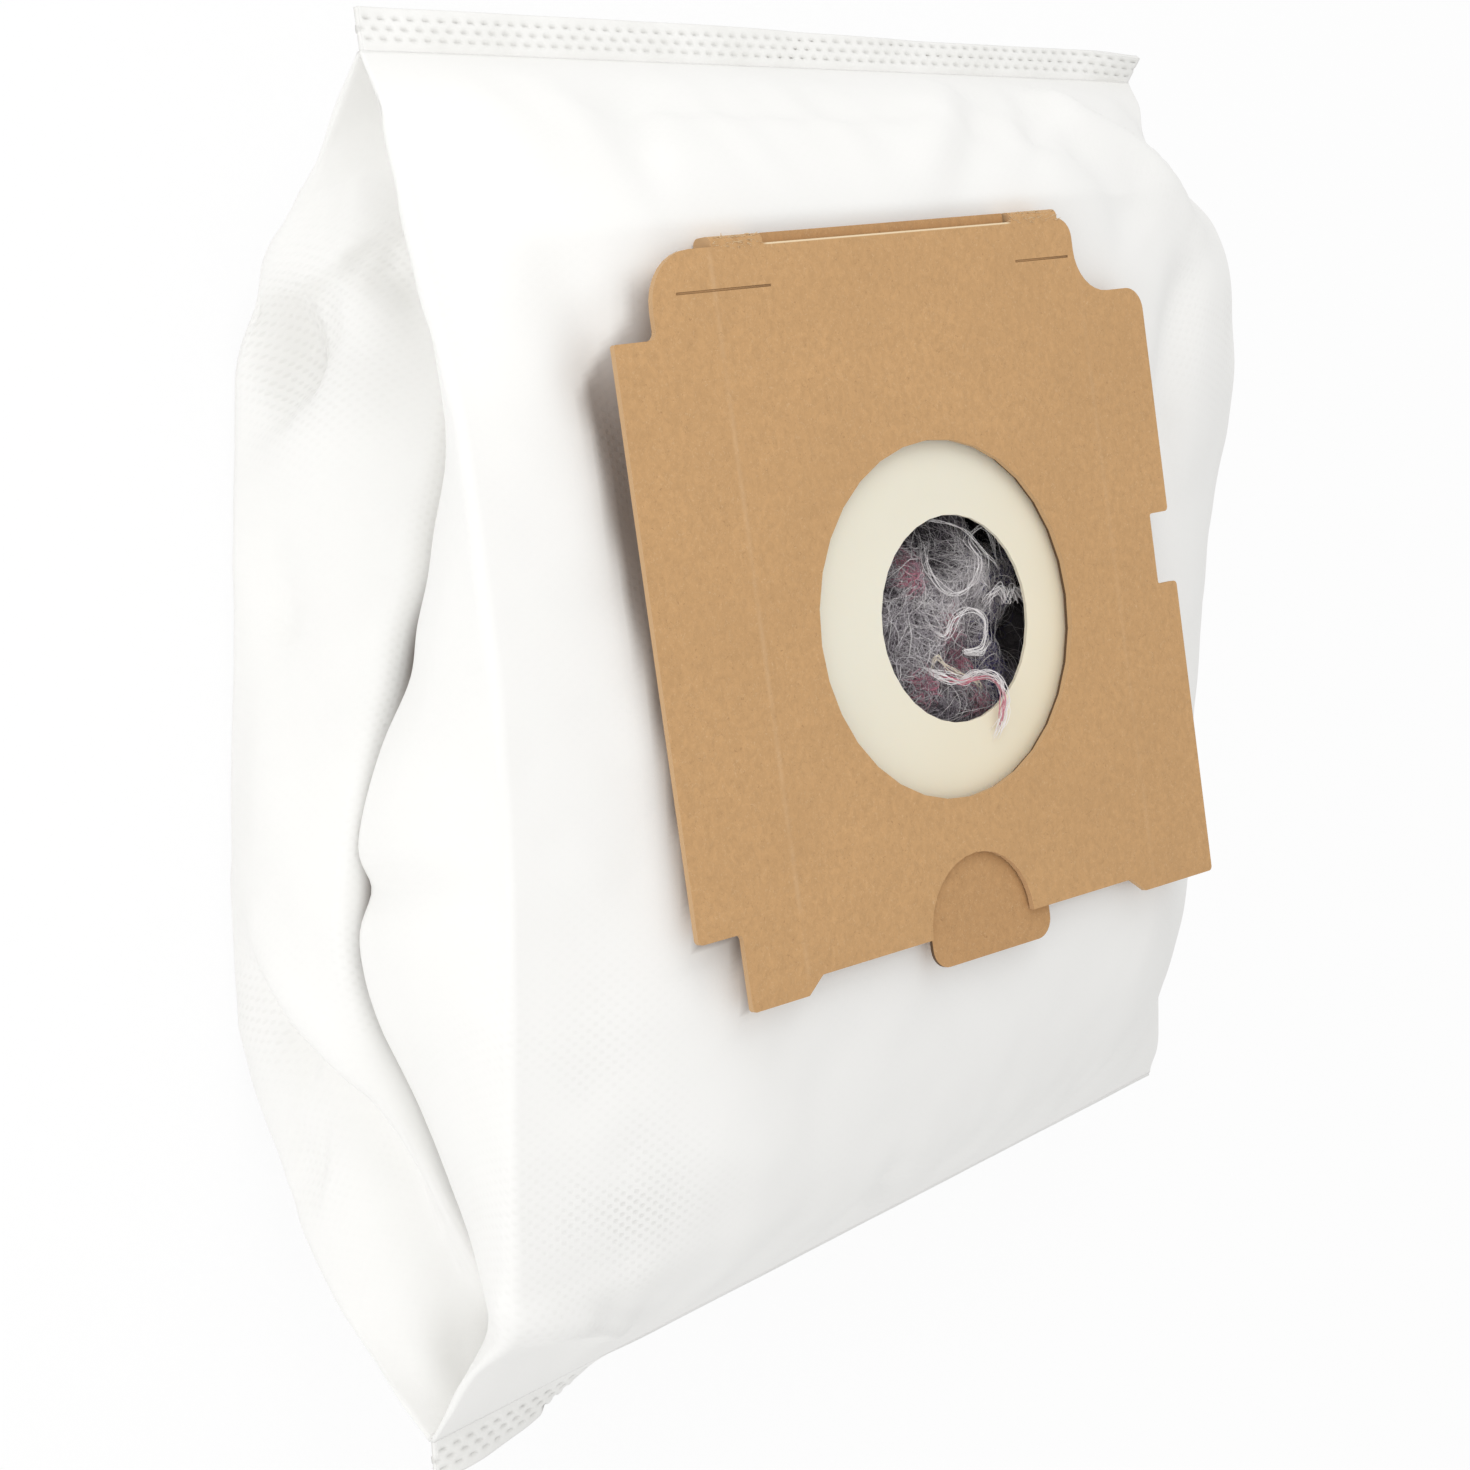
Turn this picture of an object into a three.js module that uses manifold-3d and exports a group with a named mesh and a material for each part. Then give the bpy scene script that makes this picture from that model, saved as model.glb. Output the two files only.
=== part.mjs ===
// A full dust bag for a vacuum cleaner, in millimetres.
// It lies on its back: +Z is the way the collar faces, +Y runs towards the top seam.
// Places are first worked out from the centre of the collar's round hole, with the floor at z = 0,
// and the whole bag is then moved so that the origin is under the middle of its box.
import * as THREE from 'three';
import { mergeVertices } from 'three/addons/utils/BufferGeometryUtils.js';
import Module from 'manifold-3d';

const wasm = await Module();
wasm.setup();

// Gap left between pieces that are glued, welded or laid on each other.
const seatGap = 0.3;

// Fleece bag. Left and right are as seen with the collar facing you and the top seam up.
const fleeceThick = 0.6;
const bagDepth = 80.8;
const seamLength = 195;
const leanAcross = 21;
const topSeamLeft = 102;
const topSeamRight = 94;
const bottomSeamLeft = -117;
const bottomSeamRight = -105.5;
const seamStripWidth = 7;
const sideWeldWidth = 6;
const gussetBulge = 4;
const slitOpening = 0.5;
const creaseRound = 2.5;
const seamCreaseRound = 0.6;
const rearSag = 14;
const fleeceHoleRadius = 29;
const collarEase = 3;
const sideFullness = 0.7;
const endFullness = 0.4;

// Folded collar card: a front leaf that locks into the cleaner, and a glued back leaf.
const leafThick = 1;
const collarHoleRadius = 30;
const collarTop = 64.5;
const collarBottom = -51.7;
const headLeft = -55.6;
const headLeftRound = 9;
const headRight = 41.9;
const headRightRound = 3.5;
const wingLeft = -64.3;
const wingLeftTop = 51.1;
const wingLeftBottom = -41.7;
const shoulderY = 51.3;
const shoulderHollow = 7.5;
const shoulderRound = 4;
const wingRight = 58.5;
const footY = -54.4;
const footLeftOuter = -55.1;
const footLeftInner = -42.9;
const footRightInner = 40;
const footSlope = 3.5;
const keyNotchDepth = 5;
const keyNotchLow = -1.4;
const keyNotchHigh = 11.2;
const thumbNotchX = -1.5;
const thumbNotchRadius = 12.4;
const slitY = 57.8;
const slitWidth = 0.4;
const slitLeftFrom = -50.5;
const slitLeftTo = -30.4;
const slitRightFrom = 26.9;
const slitRightTo = 40.4;
const bridgeReach = 1.7;
const bridgeOverlap = 2;
const bridgeRound = 1.2;
const bridgeLeftFrom = -42;
const bridgeLeftTo = -31;
const bridgeRightFrom = 27;
const bridgeRightTo = 38.7;
const backLeafHalfWidth = 46;
const backLeafBottom = -50;
const backLeafShoulder = 50;
const backLeafRound = 5;
const backLeafHoleRadius = 27;

// Closing slide, pulled down by its tab until its blank part covers the inlet.
const slideThick = 0.6;
const slideRunGap = 0.6;
const slideWindowEase = 0.4;
const slideBottom = -50;
const tabLeft = -13;
const tabRight = 16;
const tabBottom = -57.2;
const tabRound = 3.5;
const guideStripWidth = 5;

// Rubber membrane with the inlet hole.
const membraneThick = 0.6;
const membraneRadius = 37;
const inletRadius = 17.5;
const inletX = 3.5;
const inletY = -0.3;

// Lump of dust and fluff inside the bag.
const lintBelowMembrane = 6.4;
const lintHalfWidth = 46;
const lintHalfLength = 72;
const lintX = 4;
const lintY = -12;
const lintSquareness = 2.4;
const lintFootShare = 0.86;

// Heights of the layers, from the fleece pad up to the collar's front face.
const layerPitch = fleeceThick + seatGap;
const backLeafZ = bagDepth + seatGap;
const membraneZ = backLeafZ + leafThick + seatGap;
const slideZ = membraneZ + membraneThick + seatGap;
const frontLeafZ = slideZ + slideThick + seatGap;
const guideStripZ = membraneZ;
const guideStripThick = slideZ + slideThick - guideStripZ;
const slideHalfWidth = backLeafHalfWidth - guideStripWidth - 2 * slideRunGap;

const colours = {
  fleece: new THREE.MeshStandardMaterial({ color: 0xf1f0ec, roughness: 0.95, metalness: 0 }),
  card: new THREE.MeshStandardMaterial({ color: 0xb98d5c, roughness: 0.9, metalness: 0 }),
  slideCard: new THREE.MeshStandardMaterial({ color: 0xa67a4a, roughness: 0.9, metalness: 0 }),
  membrane: new THREE.MeshStandardMaterial({ color: 0xe9e2c4, roughness: 0.55, metalness: 0 }),
  lint: new THREE.MeshStandardMaterial({ color: 0x6d676c, roughness: 1, metalness: 0 }),
};

const mix = THREE.MathUtils.lerp;
const smooth = THREE.MathUtils.smoothstep;

// Solids of closed meshes, for cutting and joining.
function solidOf(geometry) {
  const bare = geometry.clone();
  bare.deleteAttribute('normal');
  bare.deleteAttribute('uv');
  const merged = mergeVertices(bare, 1e-4);
  return new wasm.Manifold(new wasm.Mesh({
    numProp: 3,
    vertProperties: new Float32Array(merged.attributes.position.array),
    triVerts: new Uint32Array(merged.index.array),
  }));
}

function geometryOf(solid) {
  const mesh = solid.getMesh();
  const geometry = new THREE.BufferGeometry();
  geometry.setAttribute('position', new THREE.BufferAttribute(mesh.vertProperties, 3));
  geometry.setIndex(new THREE.BufferAttribute(mesh.triVerts, 1));
  geometry.computeVertexNormals();
  return geometry;
}

// Points of an arc, a step about every 11 degrees.
function arc(x, y, radius, from, to) {
  const steps = Math.max(2, Math.ceil(Math.abs(to - from) / (Math.PI / 16)));
  return Array.from({ length: steps + 1 }, (_, i) => {
    const angle = mix(from, to, i / steps);
    return new THREE.Vector2(x + radius * Math.cos(angle), y + radius * Math.sin(angle));
  });
}

// An outline from corners [x, y, radius]; an array of points among them is taken as it is.
function outline(corners) {
  const ends = corners.map((c) => (c[0].isVector2 ? c : [new THREE.Vector2(c[0], c[1])]));
  const points = [];
  corners.forEach((corner, i) => {
    if (corner[0].isVector2) {
      points.push(...corner);
      return;
    }
    const here = ends[i][0];
    const before = ends[(i + ends.length - 1) % ends.length].at(-1).clone().sub(here).normalize();
    const after = ends[(i + 1) % ends.length][0].clone().sub(here).normalize();
    const half = Math.acos(THREE.MathUtils.clamp(before.dot(after), -1, 1)) / 2;
    if (!corner[2] || half > 1.5) {
      points.push(here);
      return;
    }
    const inwards = before.clone().add(after).normalize();
    const centre = inwards.multiplyScalar(corner[2] / Math.sin(half)).add(here);
    const along = corner[2] / Math.tan(half);
    const start = here.clone().addScaledVector(before, along).sub(centre);
    const end = here.clone().addScaledVector(after, along).sub(centre);
    const from = start.angle();
    const turn = Math.atan2(start.cross(end), start.dot(end));
    points.push(...arc(centre.x, centre.y, corner[2], from, from + turn));
  });
  return points;
}

const circle = (x, y, radius) => new THREE.Path(arc(x, y, radius, 0, 2 * Math.PI).slice(0, -1));

function plate(points, holes, z, thick) {
  const shape = new THREE.Shape(points);
  shape.holes.push(...holes);
  const geometry = new THREE.ExtrudeGeometry(shape, { depth: thick, bevelEnabled: false });
  return geometry.translate(0, 0, z);
}

// A knife cut through the front leaf, as the solid that it takes away.
function slit(from, to) {
  const low = slitY - slitWidth / 2;
  const high = slitY + slitWidth / 2;
  const points = outline([[from, low], [to, low], [to, high], [from, high]]);
  return solidOf(plate(points, [], frontLeafZ - leafThick, 3 * leafThick));
}

// The fleece is lofted through sections across the bag. Each row says how one side of it runs:
// at is the share of the way from the bottom seam to the top seam, front and rear are the two
// creases, as [mm inside the seam's end, share of the bag's depth above the floor], lip and tuck are
// how far in the gusset's slit lies and how much deeper its side weld is, and rim is how far the
// slit's rear lip stands out past its front lip.
const leftSections = [
  { at: 0, front: [0, 0.51], rear: [0, 0.51], lip: 24, tuck: 22, rim: 0 },
  { at: 0.05, front: [0.3, 0.63], rear: [-1, 0.36], lip: 19, tuck: 20, rim: 0.3 },
  { at: 0.09, front: [0.5, 0.775], rear: [-1.6, 0.26], lip: 15.5, tuck: 19, rim: 0.6 },
  { at: 0.12, front: [0, 0.8], rear: [-2, 0.2], lip: 13, tuck: 18, rim: 1 },
  { at: 0.24, front: [-1.2, 0.85], rear: [-4, 0.06], lip: 5, tuck: 14, rim: 3 },
  { at: 0.35, front: [-1, 0.88], rear: [-5, 0], lip: -4, tuck: 11, rim: 2.5 },
  { at: 0.45, front: [-1, 0.9], rear: [-3.5, 0], lip: -3, tuck: 10, rim: 1.5 },
  { at: 0.57, front: [-2, 0.91], rear: [-1, 0], lip: 11, tuck: 16, rim: 4 },
  { at: 0.72, front: [-4.5, 0.9], rear: [2, 0], lip: 24, tuck: 14, rim: 6 },
  { at: 0.84, front: [-6, 0.79], rear: [4.5, 0.08], lip: 30, tuck: 11, rim: 4 },
  { at: 0.93, front: [-3, 0.69], rear: [5, 0.33], lip: 27, tuck: 16, rim: 1 },
  { at: 1, front: [0, 0.6], rear: [0, 0.6], lip: 24, tuck: 22, rim: 0 },
];
const rightSections = [
  { at: 0, front: [0, 0.36], rear: [0, 0.36], lip: 24, tuck: 22, rim: 0 },
  { at: 0.05, front: [5, 0.43], rear: [1, 0.24], lip: 22, tuck: 18, rim: 0 },
  { at: 0.12, front: [9, 0.5], rear: [1, 0.12], lip: 20, tuck: 14, rim: 0 },
  { at: 0.24, front: [11, 0.575], rear: [2, 0.03], lip: 18, tuck: 12, rim: 0.5 },
  { at: 0.35, front: [9, 0.62], rear: [2, 0], lip: 17, tuck: 12, rim: 1 },
  { at: 0.45, front: [7, 0.66], rear: [2, 0], lip: 16, tuck: 12, rim: 1.5 },
  { at: 0.57, front: [6, 0.72], rear: [2, 0], lip: 18, tuck: 12, rim: 2 },
  { at: 0.72, front: [7, 0.82], rear: [2, 0], lip: 22, tuck: 12, rim: 2 },
  { at: 0.84, front: [9, 0.8], rear: [2, 0.06], lip: 25, tuck: 13, rim: 1 },
  { at: 0.93, front: [11.5, 0.64], rear: [2, 0.24], lip: 26, tuck: 16, rim: 0.5 },
  { at: 1, front: [0, 0.47], rear: [0, 0.47], lip: 24, tuck: 22, rim: 0 },
];

// A smooth curve through the sections, for any share of the way between the seams.
function sideRunner(sections) {
  const times = sections.map((s) => s.at);
  const values = sections.flatMap((s) => [...s.front, ...s.rear, s.lip, s.tuck, s.rim]);
  const size = values.length / times.length;
  const interpolant = new THREE.CubicInterpolant(times, values, size, new Float64Array(size));
  return (share) => Array.from(interpolant.evaluate(share));
}
const leftRun = sideRunner(leftSections);
const rightRun = sideRunner(rightSections);

// 0 at a seam, where the sheets and their gussets lie flat together, and 1 where the bag is open.
const openness = (share) => smooth(Math.min(share, 1 - share), 0, 0.1);

// Points of a curve that leans towards b on its way from a to c, without its two ends.
function leaning(a, b, c, steps) {
  return Array.from({ length: steps - 1 }, (_, i) => {
    const q = (i + 1) / steps;
    return [0, 1].map((k) => (1 - q) * (1 - q) * a[k] + 2 * q * (1 - q) * b[k] + q * q * c[k]);
  });
}

// One side of a section. side is -1 on the left and 1 on the right, layer 1 for the front sheet
// and -1 for the rear one. The points run from the side weld's edge to the panel's edge.
function sidePoints(share, side, layer) {
  const run = side < 0 ? leftRun(share) : rightRun(share);
  const [frontIn, frontUp, rearIn, rearUp, lipIn, tuck, rim] = run;
  const open = openness(share);
  const seamEnd = mix(0, leanAcross, share) + side * seamLength / 2;
  const reach = (inset) => seamEnd - side * inset;
  const frontZ = frontUp * bagDepth + 1.5 * layerPitch;
  const rearZ = Math.max(fleeceThick / 2, rearUp * bagDepth - 1.5 * layerPitch);
  const slitZ = (frontZ + rearZ) / 2;
  const panelZ = layer > 0 ? frontZ : rearZ;
  const edgeX = reach(layer > 0 ? frontIn : rearIn);
  const weldX = reach(lipIn + tuck);
  const weldZ = slitZ + layer * layerPitch / 2;
  const lip = [reach(layer > 0 ? lipIn : lipIn - rim), weldZ + layer * slitOpening * open];
  const insideSlit = [mix(lip[0], weldX, 0.35), mix(lip[1], weldZ, 0.7)];
  const round = mix(seamCreaseRound, creaseRound, open);
  const foldTop = [edgeX - side * round, panelZ];
  const foldMid = [edgeX, panelZ - layer * mix(layerPitch / 2, creaseRound * 0.4, open)];
  const foldLowX = edgeX - side * seamCreaseRound * (1 - open);
  const foldLow = [foldLowX, panelZ - layer * mix(layerPitch, creaseRound * 1.4, open)];
  const swell = [(foldLow[0] + lip[0]) / 2 + side * gussetBulge * open, (foldLow[1] + lip[1]) / 2];
  const points = [
    [weldX - side * sideWeldWidth, weldZ],
    [weldX, weldZ],
    insideSlit,
    lip,
    ...leaning(lip, swell, foldLow, 5),
    foldLow,
    foldMid,
    foldTop,
  ];
  return { points, slitZ };
}

// Shares across a panel: close together over the folded gussets, wider over the middle.
const gussetShares = [0.09, 0.2, 0.3];
const otherGussetShares = gussetShares.map((s) => 1 - s).reverse();
const acrossPanel = [...gussetShares, 0.36, 0.43, 0.5, 0.57, 0.64, ...otherGussetShares];

// How much of the collar pad's height the front panel has at a point: all of it under the back
// leaf, less and less towards the creases and the seams.
function padShare(x, y, leftX, rightX, lowY, highY) {
  const fall = (q, crown) => (q <= 0 ? 1 : Math.max(0, (1 - q) * (1 + crown * q)));
  const left = -backLeafHalfWidth - collarEase;
  const right = backLeafHalfWidth + collarEase;
  const top = collarTop + bridgeReach + collarEase;
  const low = backLeafBottom - collarEase;
  const sideways = x < left ? (left - x) / (left - leftX) : (x - right) / (rightX - right);
  const lengthways = y > top ? (y - top) / (highY - top) : (low - y) / (low - lowY);
  return fall(sideways, sideFullness) * fall(lengthways, endFullness);
}

// A row of points across a whole sheet, at a share of its height, moved along Y by shift.
function sheetRow(share, layer, shift) {
  const { points: left, slitZ: leftSlitZ } = sidePoints(share, -1, layer);
  const { points: right, slitZ: rightSlitZ } = sidePoints(share, 1, layer);
  const leftY = mix(bottomSeamLeft, topSeamLeft, share) + shift;
  const rightY = mix(bottomSeamRight, topSeamRight, share) + shift;
  const leftEdge = left.at(-1);
  const rightEdge = right.at(-1);
  const closed = 1 - openness(share);
  const panel = acrossPanel.map((u) => {
    const x = mix(leftEdge[0], rightEdge[0], u);
    const y = mix(leftY, rightY, u);
    const edgeZ = mix(leftEdge[1], rightEdge[1], u);
    const overGusset = gussetShares.includes(u) || otherGussetShares.includes(u);
    const flat = overGusset ? edgeZ : edgeZ - layer * layerPitch * closed;
    if (layer < 0) {
      const sagged = Math.max(fleeceThick / 2, flat - rearSag * 4 * u * (1 - u));
      return new THREE.Vector3(x, y, mix(sagged, flat, closed));
    }
    const lowY = mix(bottomSeamLeft, bottomSeamRight, u);
    const highY = mix(topSeamLeft, topSeamRight, u);
    const pad = shift ? 0 : padShare(x, y, leftEdge[0], rightEdge[0], lowY, highY);
    return new THREE.Vector3(x, y, mix(flat, bagDepth - fleeceThick / 2, pad));
  });
  // Near a seam the gussets lie flat along it, so they take its slope.
  const place = (points, ownSlitZ) => points.map(([x, z]) => {
    const u = (x - leftEdge[0]) / (rightEdge[0] - leftEdge[0]);
    const slope = closed * (mix(leftSlitZ, rightSlitZ, u) - ownSlitZ);
    return new THREE.Vector3(x, mix(leftY, rightY, u), z + slope);
  });
  return [...place(left, leftSlitZ), ...panel, ...place(right, rightSlitZ).reverse()];
}

// Shares of the height at which the rows lie, closer together near the seams.
const rowCount = 24;
const rowShares = Array.from({ length: rowCount + 1 }, (_, i) => {
  const even = i / rowCount;
  return mix(even, (1 - Math.cos(Math.PI * even)) / 2, 0.5);
});

// A sheet of even thickness around a grid of points, closed along its four edges.
function thickSheet(rows, thick) {
  const across = rows[0].length;
  const count = rows.length * across;
  const position = new Float32Array(count * 6);
  const within = (k, size) => THREE.MathUtils.clamp(k, 0, size - 1);
  const at = (j, i) => rows[within(j, rows.length)][within(i, across)];
  rows.forEach((row, j) => row.forEach((point, i) => {
    const ahead = at(j, i + 1).clone().sub(point).normalize();
    const behind = point.clone().sub(at(j, i - 1)).normalize();
    const alongX = ahead.add(behind);
    const alongY = at(j + 1, i).clone().sub(at(j - 1, i));
    const normal = alongX.cross(alongY).normalize();
    const outer = point.clone().addScaledVector(normal, thick / 2);
    const inner = point.clone().addScaledVector(normal, -thick / 2);
    outer.toArray(position, (j * across + i) * 3);
    inner.toArray(position, (count + j * across + i) * 3);
  }));
  const index = [];
  const quad = (a, b, c, d) => index.push(a, b, c, a, c, d);
  for (let j = 0; j < rows.length - 1; j += 1) {
    for (let i = 0; i < across - 1; i += 1) {
      const a = j * across + i;
      quad(a, a + 1, a + across + 1, a + across);
      quad(count + a, count + a + across, count + a + across + 1, count + a + 1);
    }
    const first = j * across;
    const last = first + across - 1;
    quad(first, first + across, count + first + across, count + first);
    quad(last, count + last, count + last + across, last + across);
  }
  const topRow = (rows.length - 1) * across;
  for (let i = 0; i < across - 1; i += 1) {
    quad(i, count + i, count + i + 1, i + 1);
    quad(topRow + i, topRow + i + 1, count + topRow + i + 1, count + topRow + i);
  }
  const geometry = new THREE.BufferGeometry();
  geometry.setAttribute('position', new THREE.BufferAttribute(position, 3));
  geometry.setIndex(index);
  return geometry;
}

function sheet(layer) {
  const rows = [
    sheetRow(0, layer, -seamStripWidth),
    ...rowShares.map((share) => sheetRow(share, layer, 0)),
    sheetRow(1, layer, seamStripWidth),
  ];
  return thickSheet(rows, fleeceThick);
}

function frontSheet() {
  const punch = plate(arc(0, 0, fleeceHoleRadius, 0, 2 * Math.PI).slice(0, -1), [], bagDepth - 5, 10);
  return geometryOf(solidOf(sheet(1)).subtract(solidOf(punch)));
}

// Collar: two leaves with two bridges at the fold, and a slot between the bridges.
function bridge(from, to) {
  const innerLow = backLeafZ + leafThick;
  const profile = outline([
    [collarTop - bridgeOverlap, backLeafZ],
    [collarTop + bridgeReach, backLeafZ, bridgeRound],
    [collarTop + bridgeReach, frontLeafZ + leafThick, bridgeRound],
    [collarTop - bridgeOverlap, frontLeafZ + leafThick],
    [collarTop - bridgeOverlap, frontLeafZ],
    [collarTop, frontLeafZ],
    [collarTop, innerLow],
    [collarTop - bridgeOverlap, innerLow],
  ]);
  const shape = new THREE.Shape(profile);
  const geometry = new THREE.ExtrudeGeometry(shape, { depth: to - from, bevelEnabled: false });
  geometry.applyMatrix4(new THREE.Matrix4().makeBasis(
    new THREE.Vector3(0, 1, 0),
    new THREE.Vector3(0, 0, 1),
    new THREE.Vector3(1, 0, 0),
  ));
  return geometry.translate(from, 0, 0);
}

function collarCard() {
  const front = outline([
    [wingLeft, wingLeftBottom, 1],
    [footLeftOuter, wingLeftBottom, 1],
    [footLeftOuter, footY, 0.8],
    [footLeftInner, footY, 0.6],
    [footLeftInner + footSlope, collarBottom, 0.6],
    arc(thumbNotchX, collarBottom, thumbNotchRadius, Math.PI, 0),
    [footRightInner - footSlope, collarBottom, 0.6],
    [footRightInner, footY, 0.6],
    [wingRight, footY, 0.8],
    [wingRight, keyNotchLow, 0.8],
    [wingRight - keyNotchDepth, keyNotchLow, 0.5],
    [wingRight - keyNotchDepth, keyNotchHigh, 0.5],
    [wingRight, keyNotchHigh, 0.8],
    [wingRight, shoulderY, shoulderRound],
    [headRight, shoulderY, shoulderHollow],
    [headRight, collarTop, headRightRound],
    [headLeft, collarTop, headLeftRound],
    [headLeft, wingLeftTop, 1.5],
    [wingLeft, wingLeftTop, 0.5],
  ]);
  const back = outline([
    [-backLeafHalfWidth, backLeafBottom, backLeafRound],
    [backLeafHalfWidth, backLeafBottom, backLeafRound],
    [backLeafHalfWidth, backLeafShoulder, backLeafRound],
    [bridgeRightTo, backLeafShoulder, 1],
    [bridgeRightTo, collarTop],
    [bridgeLeftFrom, collarTop],
    [bridgeLeftFrom, backLeafShoulder, 1],
    [-backLeafHalfWidth, backLeafShoulder, backLeafRound],
  ]);
  const frontLeaf = plate(front, [circle(0, 0, collarHoleRadius)], frontLeafZ, leafThick);
  const backLeaf = plate(back, [circle(0, 0, backLeafHoleRadius)], backLeafZ, leafThick);
  const joined = solidOf(frontLeaf)
    .subtract(slit(slitLeftFrom, slitLeftTo))
    .subtract(slit(slitRightFrom, slitRightTo))
    .add(solidOf(bridge(bridgeLeftFrom, bridgeLeftTo)))
    .add(solidOf(bridge(bridgeRightFrom, bridgeRightTo)))
    .add(solidOf(backLeaf));
  return geometryOf(joined);
}

// The slide's neck stands in the slot between the bridges, level with their tops.
function closingSlide() {
  const neckLeft = bridgeLeftTo + slideRunGap;
  const neckRight = bridgeRightFrom - slideRunGap;
  const shoulder = collarTop - slideRunGap;
  const points = outline([
    [-slideHalfWidth, slideBottom, 2],
    [tabLeft, slideBottom, 1],
    [tabLeft, tabBottom, tabRound],
    [tabRight, tabBottom, tabRound],
    [tabRight, slideBottom, 1],
    [slideHalfWidth, slideBottom, 2],
    [slideHalfWidth, shoulder, 1],
    [neckRight, shoulder, 0.4],
    [neckRight, collarTop + bridgeReach, 0.4],
    [neckLeft, collarTop + bridgeReach, 0.4],
    [neckLeft, shoulder, 0.4],
    [-slideHalfWidth, shoulder, 1],
  ]);
  return plate(points, [circle(0, 0, collarHoleRadius + slideWindowEase)], slideZ, slideThick);
}

function guideStrip(side) {
  const outer = side * backLeafHalfWidth - side * slideRunGap;
  const inner = outer - side * guideStripWidth;
  const bottom = backLeafBottom + backLeafRound;
  const top = backLeafShoulder - backLeafRound;
  const points = outline([[inner, bottom], [outer, bottom], [outer, top], [inner, top]]);
  return plate(points, [], guideStripZ, guideStripThick);
}

function membrane() {
  const rim = arc(0, 0, membraneRadius, 0, 2 * Math.PI).slice(0, -1);
  return plate(rim, [circle(inletX, inletY, inletRadius)], membraneZ, membraneThick);
}

// A domed lump with a flat underside, which lies on the rear sheet.
function lintFill() {
  const bottom = fleeceThick + seatGap;
  const height = membraneZ - lintBelowMembrane - bottom;
  const wall = Array.from({ length: 12 }, (_, i) => {
    const up = Math.sin((i / 12) * Math.PI / 2);
    const out = Math.pow(1 - Math.pow(up, lintSquareness), 1 / lintSquareness);
    const foot = mix(lintFootShare, 1, smooth(up, 0, 0.25));
    return new THREE.Vector2(lintHalfLength * out * foot, height * up);
  });
  const profile = [new THREE.Vector2(0, 0), ...wall, new THREE.Vector2(0, height)];
  const geometry = new THREE.LatheGeometry(profile, 36);
  geometry.rotateX(Math.PI / 2);
  geometry.scale(lintHalfWidth / lintHalfLength, 1, 1);
  return geometry.translate(lintX, lintY, bottom);
}

function piece(name, geometry, material) {
  const mesh = new THREE.Mesh(geometry, material);
  mesh.name = name;
  return mesh;
}

const bag = new THREE.Group();
bag.add(
  piece('front_sheet', frontSheet(), colours.fleece),
  piece('rear_sheet', sheet(-1), colours.fleece),
  piece('collar_card', collarCard(), colours.card),
  piece('closing_slide', closingSlide(), colours.slideCard),
  piece('guide_strip_left', guideStrip(-1), colours.card),
  piece('guide_strip_right', guideStrip(1), colours.card),
  piece('membrane', membrane(), colours.membrane),
  piece('lint_fill', lintFill(), colours.lint),
);

const middle = new THREE.Box3().setFromObject(bag).getCenter(new THREE.Vector3());
bag.position.set(-middle.x, -middle.y, 0);

export default bag;
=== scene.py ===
# %% [markdown]
# A full vacuum dust bag lies on its back. Its body is two sheets of white fleece, welded together at
# the top, at the bottom and inside the tucked-in sides. A folded card collar is glued on the front.
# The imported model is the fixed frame: every piece made here is in metres, in that frame.

import bpy
import numpy as np
from mathutils import Matrix, Vector


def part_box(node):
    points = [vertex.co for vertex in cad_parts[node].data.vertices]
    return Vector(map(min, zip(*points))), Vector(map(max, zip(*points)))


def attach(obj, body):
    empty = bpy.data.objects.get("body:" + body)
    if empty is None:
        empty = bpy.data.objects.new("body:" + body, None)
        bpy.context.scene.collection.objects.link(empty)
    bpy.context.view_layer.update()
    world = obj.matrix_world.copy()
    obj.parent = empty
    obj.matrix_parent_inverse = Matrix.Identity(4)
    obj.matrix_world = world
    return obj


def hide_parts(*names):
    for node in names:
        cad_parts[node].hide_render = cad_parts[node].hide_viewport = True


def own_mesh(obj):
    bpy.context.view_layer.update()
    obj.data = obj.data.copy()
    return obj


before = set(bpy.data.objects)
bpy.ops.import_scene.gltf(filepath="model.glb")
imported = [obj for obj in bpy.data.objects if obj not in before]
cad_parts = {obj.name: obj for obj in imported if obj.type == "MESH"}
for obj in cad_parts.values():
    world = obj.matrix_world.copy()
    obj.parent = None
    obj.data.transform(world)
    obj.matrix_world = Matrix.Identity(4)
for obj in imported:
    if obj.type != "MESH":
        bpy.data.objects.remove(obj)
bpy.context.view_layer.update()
MM = 0.001
print("nodes:", ", ".join(sorted(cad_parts)))

# %% [markdown]
# The collar is the only stiff, flat thing on the bag, so the camera was found from it: from the
# middle of its round hole, on the front face, the camera stands to the left and above. A long lens
# looks past the hole, so the hole isn't in the middle of the view. A camera set by eye would hide
# where a fold differs from the photo.

# %% Camera at the photo's angle
membrane_low, membrane_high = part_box("membrane")
collar_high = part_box("collar_card")[1]
COLLAR_X = (membrane_low.x + membrane_high.x) / 2 / MM
COLLAR_Y = (membrane_low.y + membrane_high.y) / 2 / MM
COLLAR_Z = collar_high.z / MM
CAMERA_FROM_COLLAR = (-357.94, 35.70, 349.68)
VIEW_RIGHT = Vector((0.7352809, -0.1372724, 0.6637155))
VIEW_UP = Vector((0.1687627, 0.9855124, 0.0168681))
LENS_MM = 73.47

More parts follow.
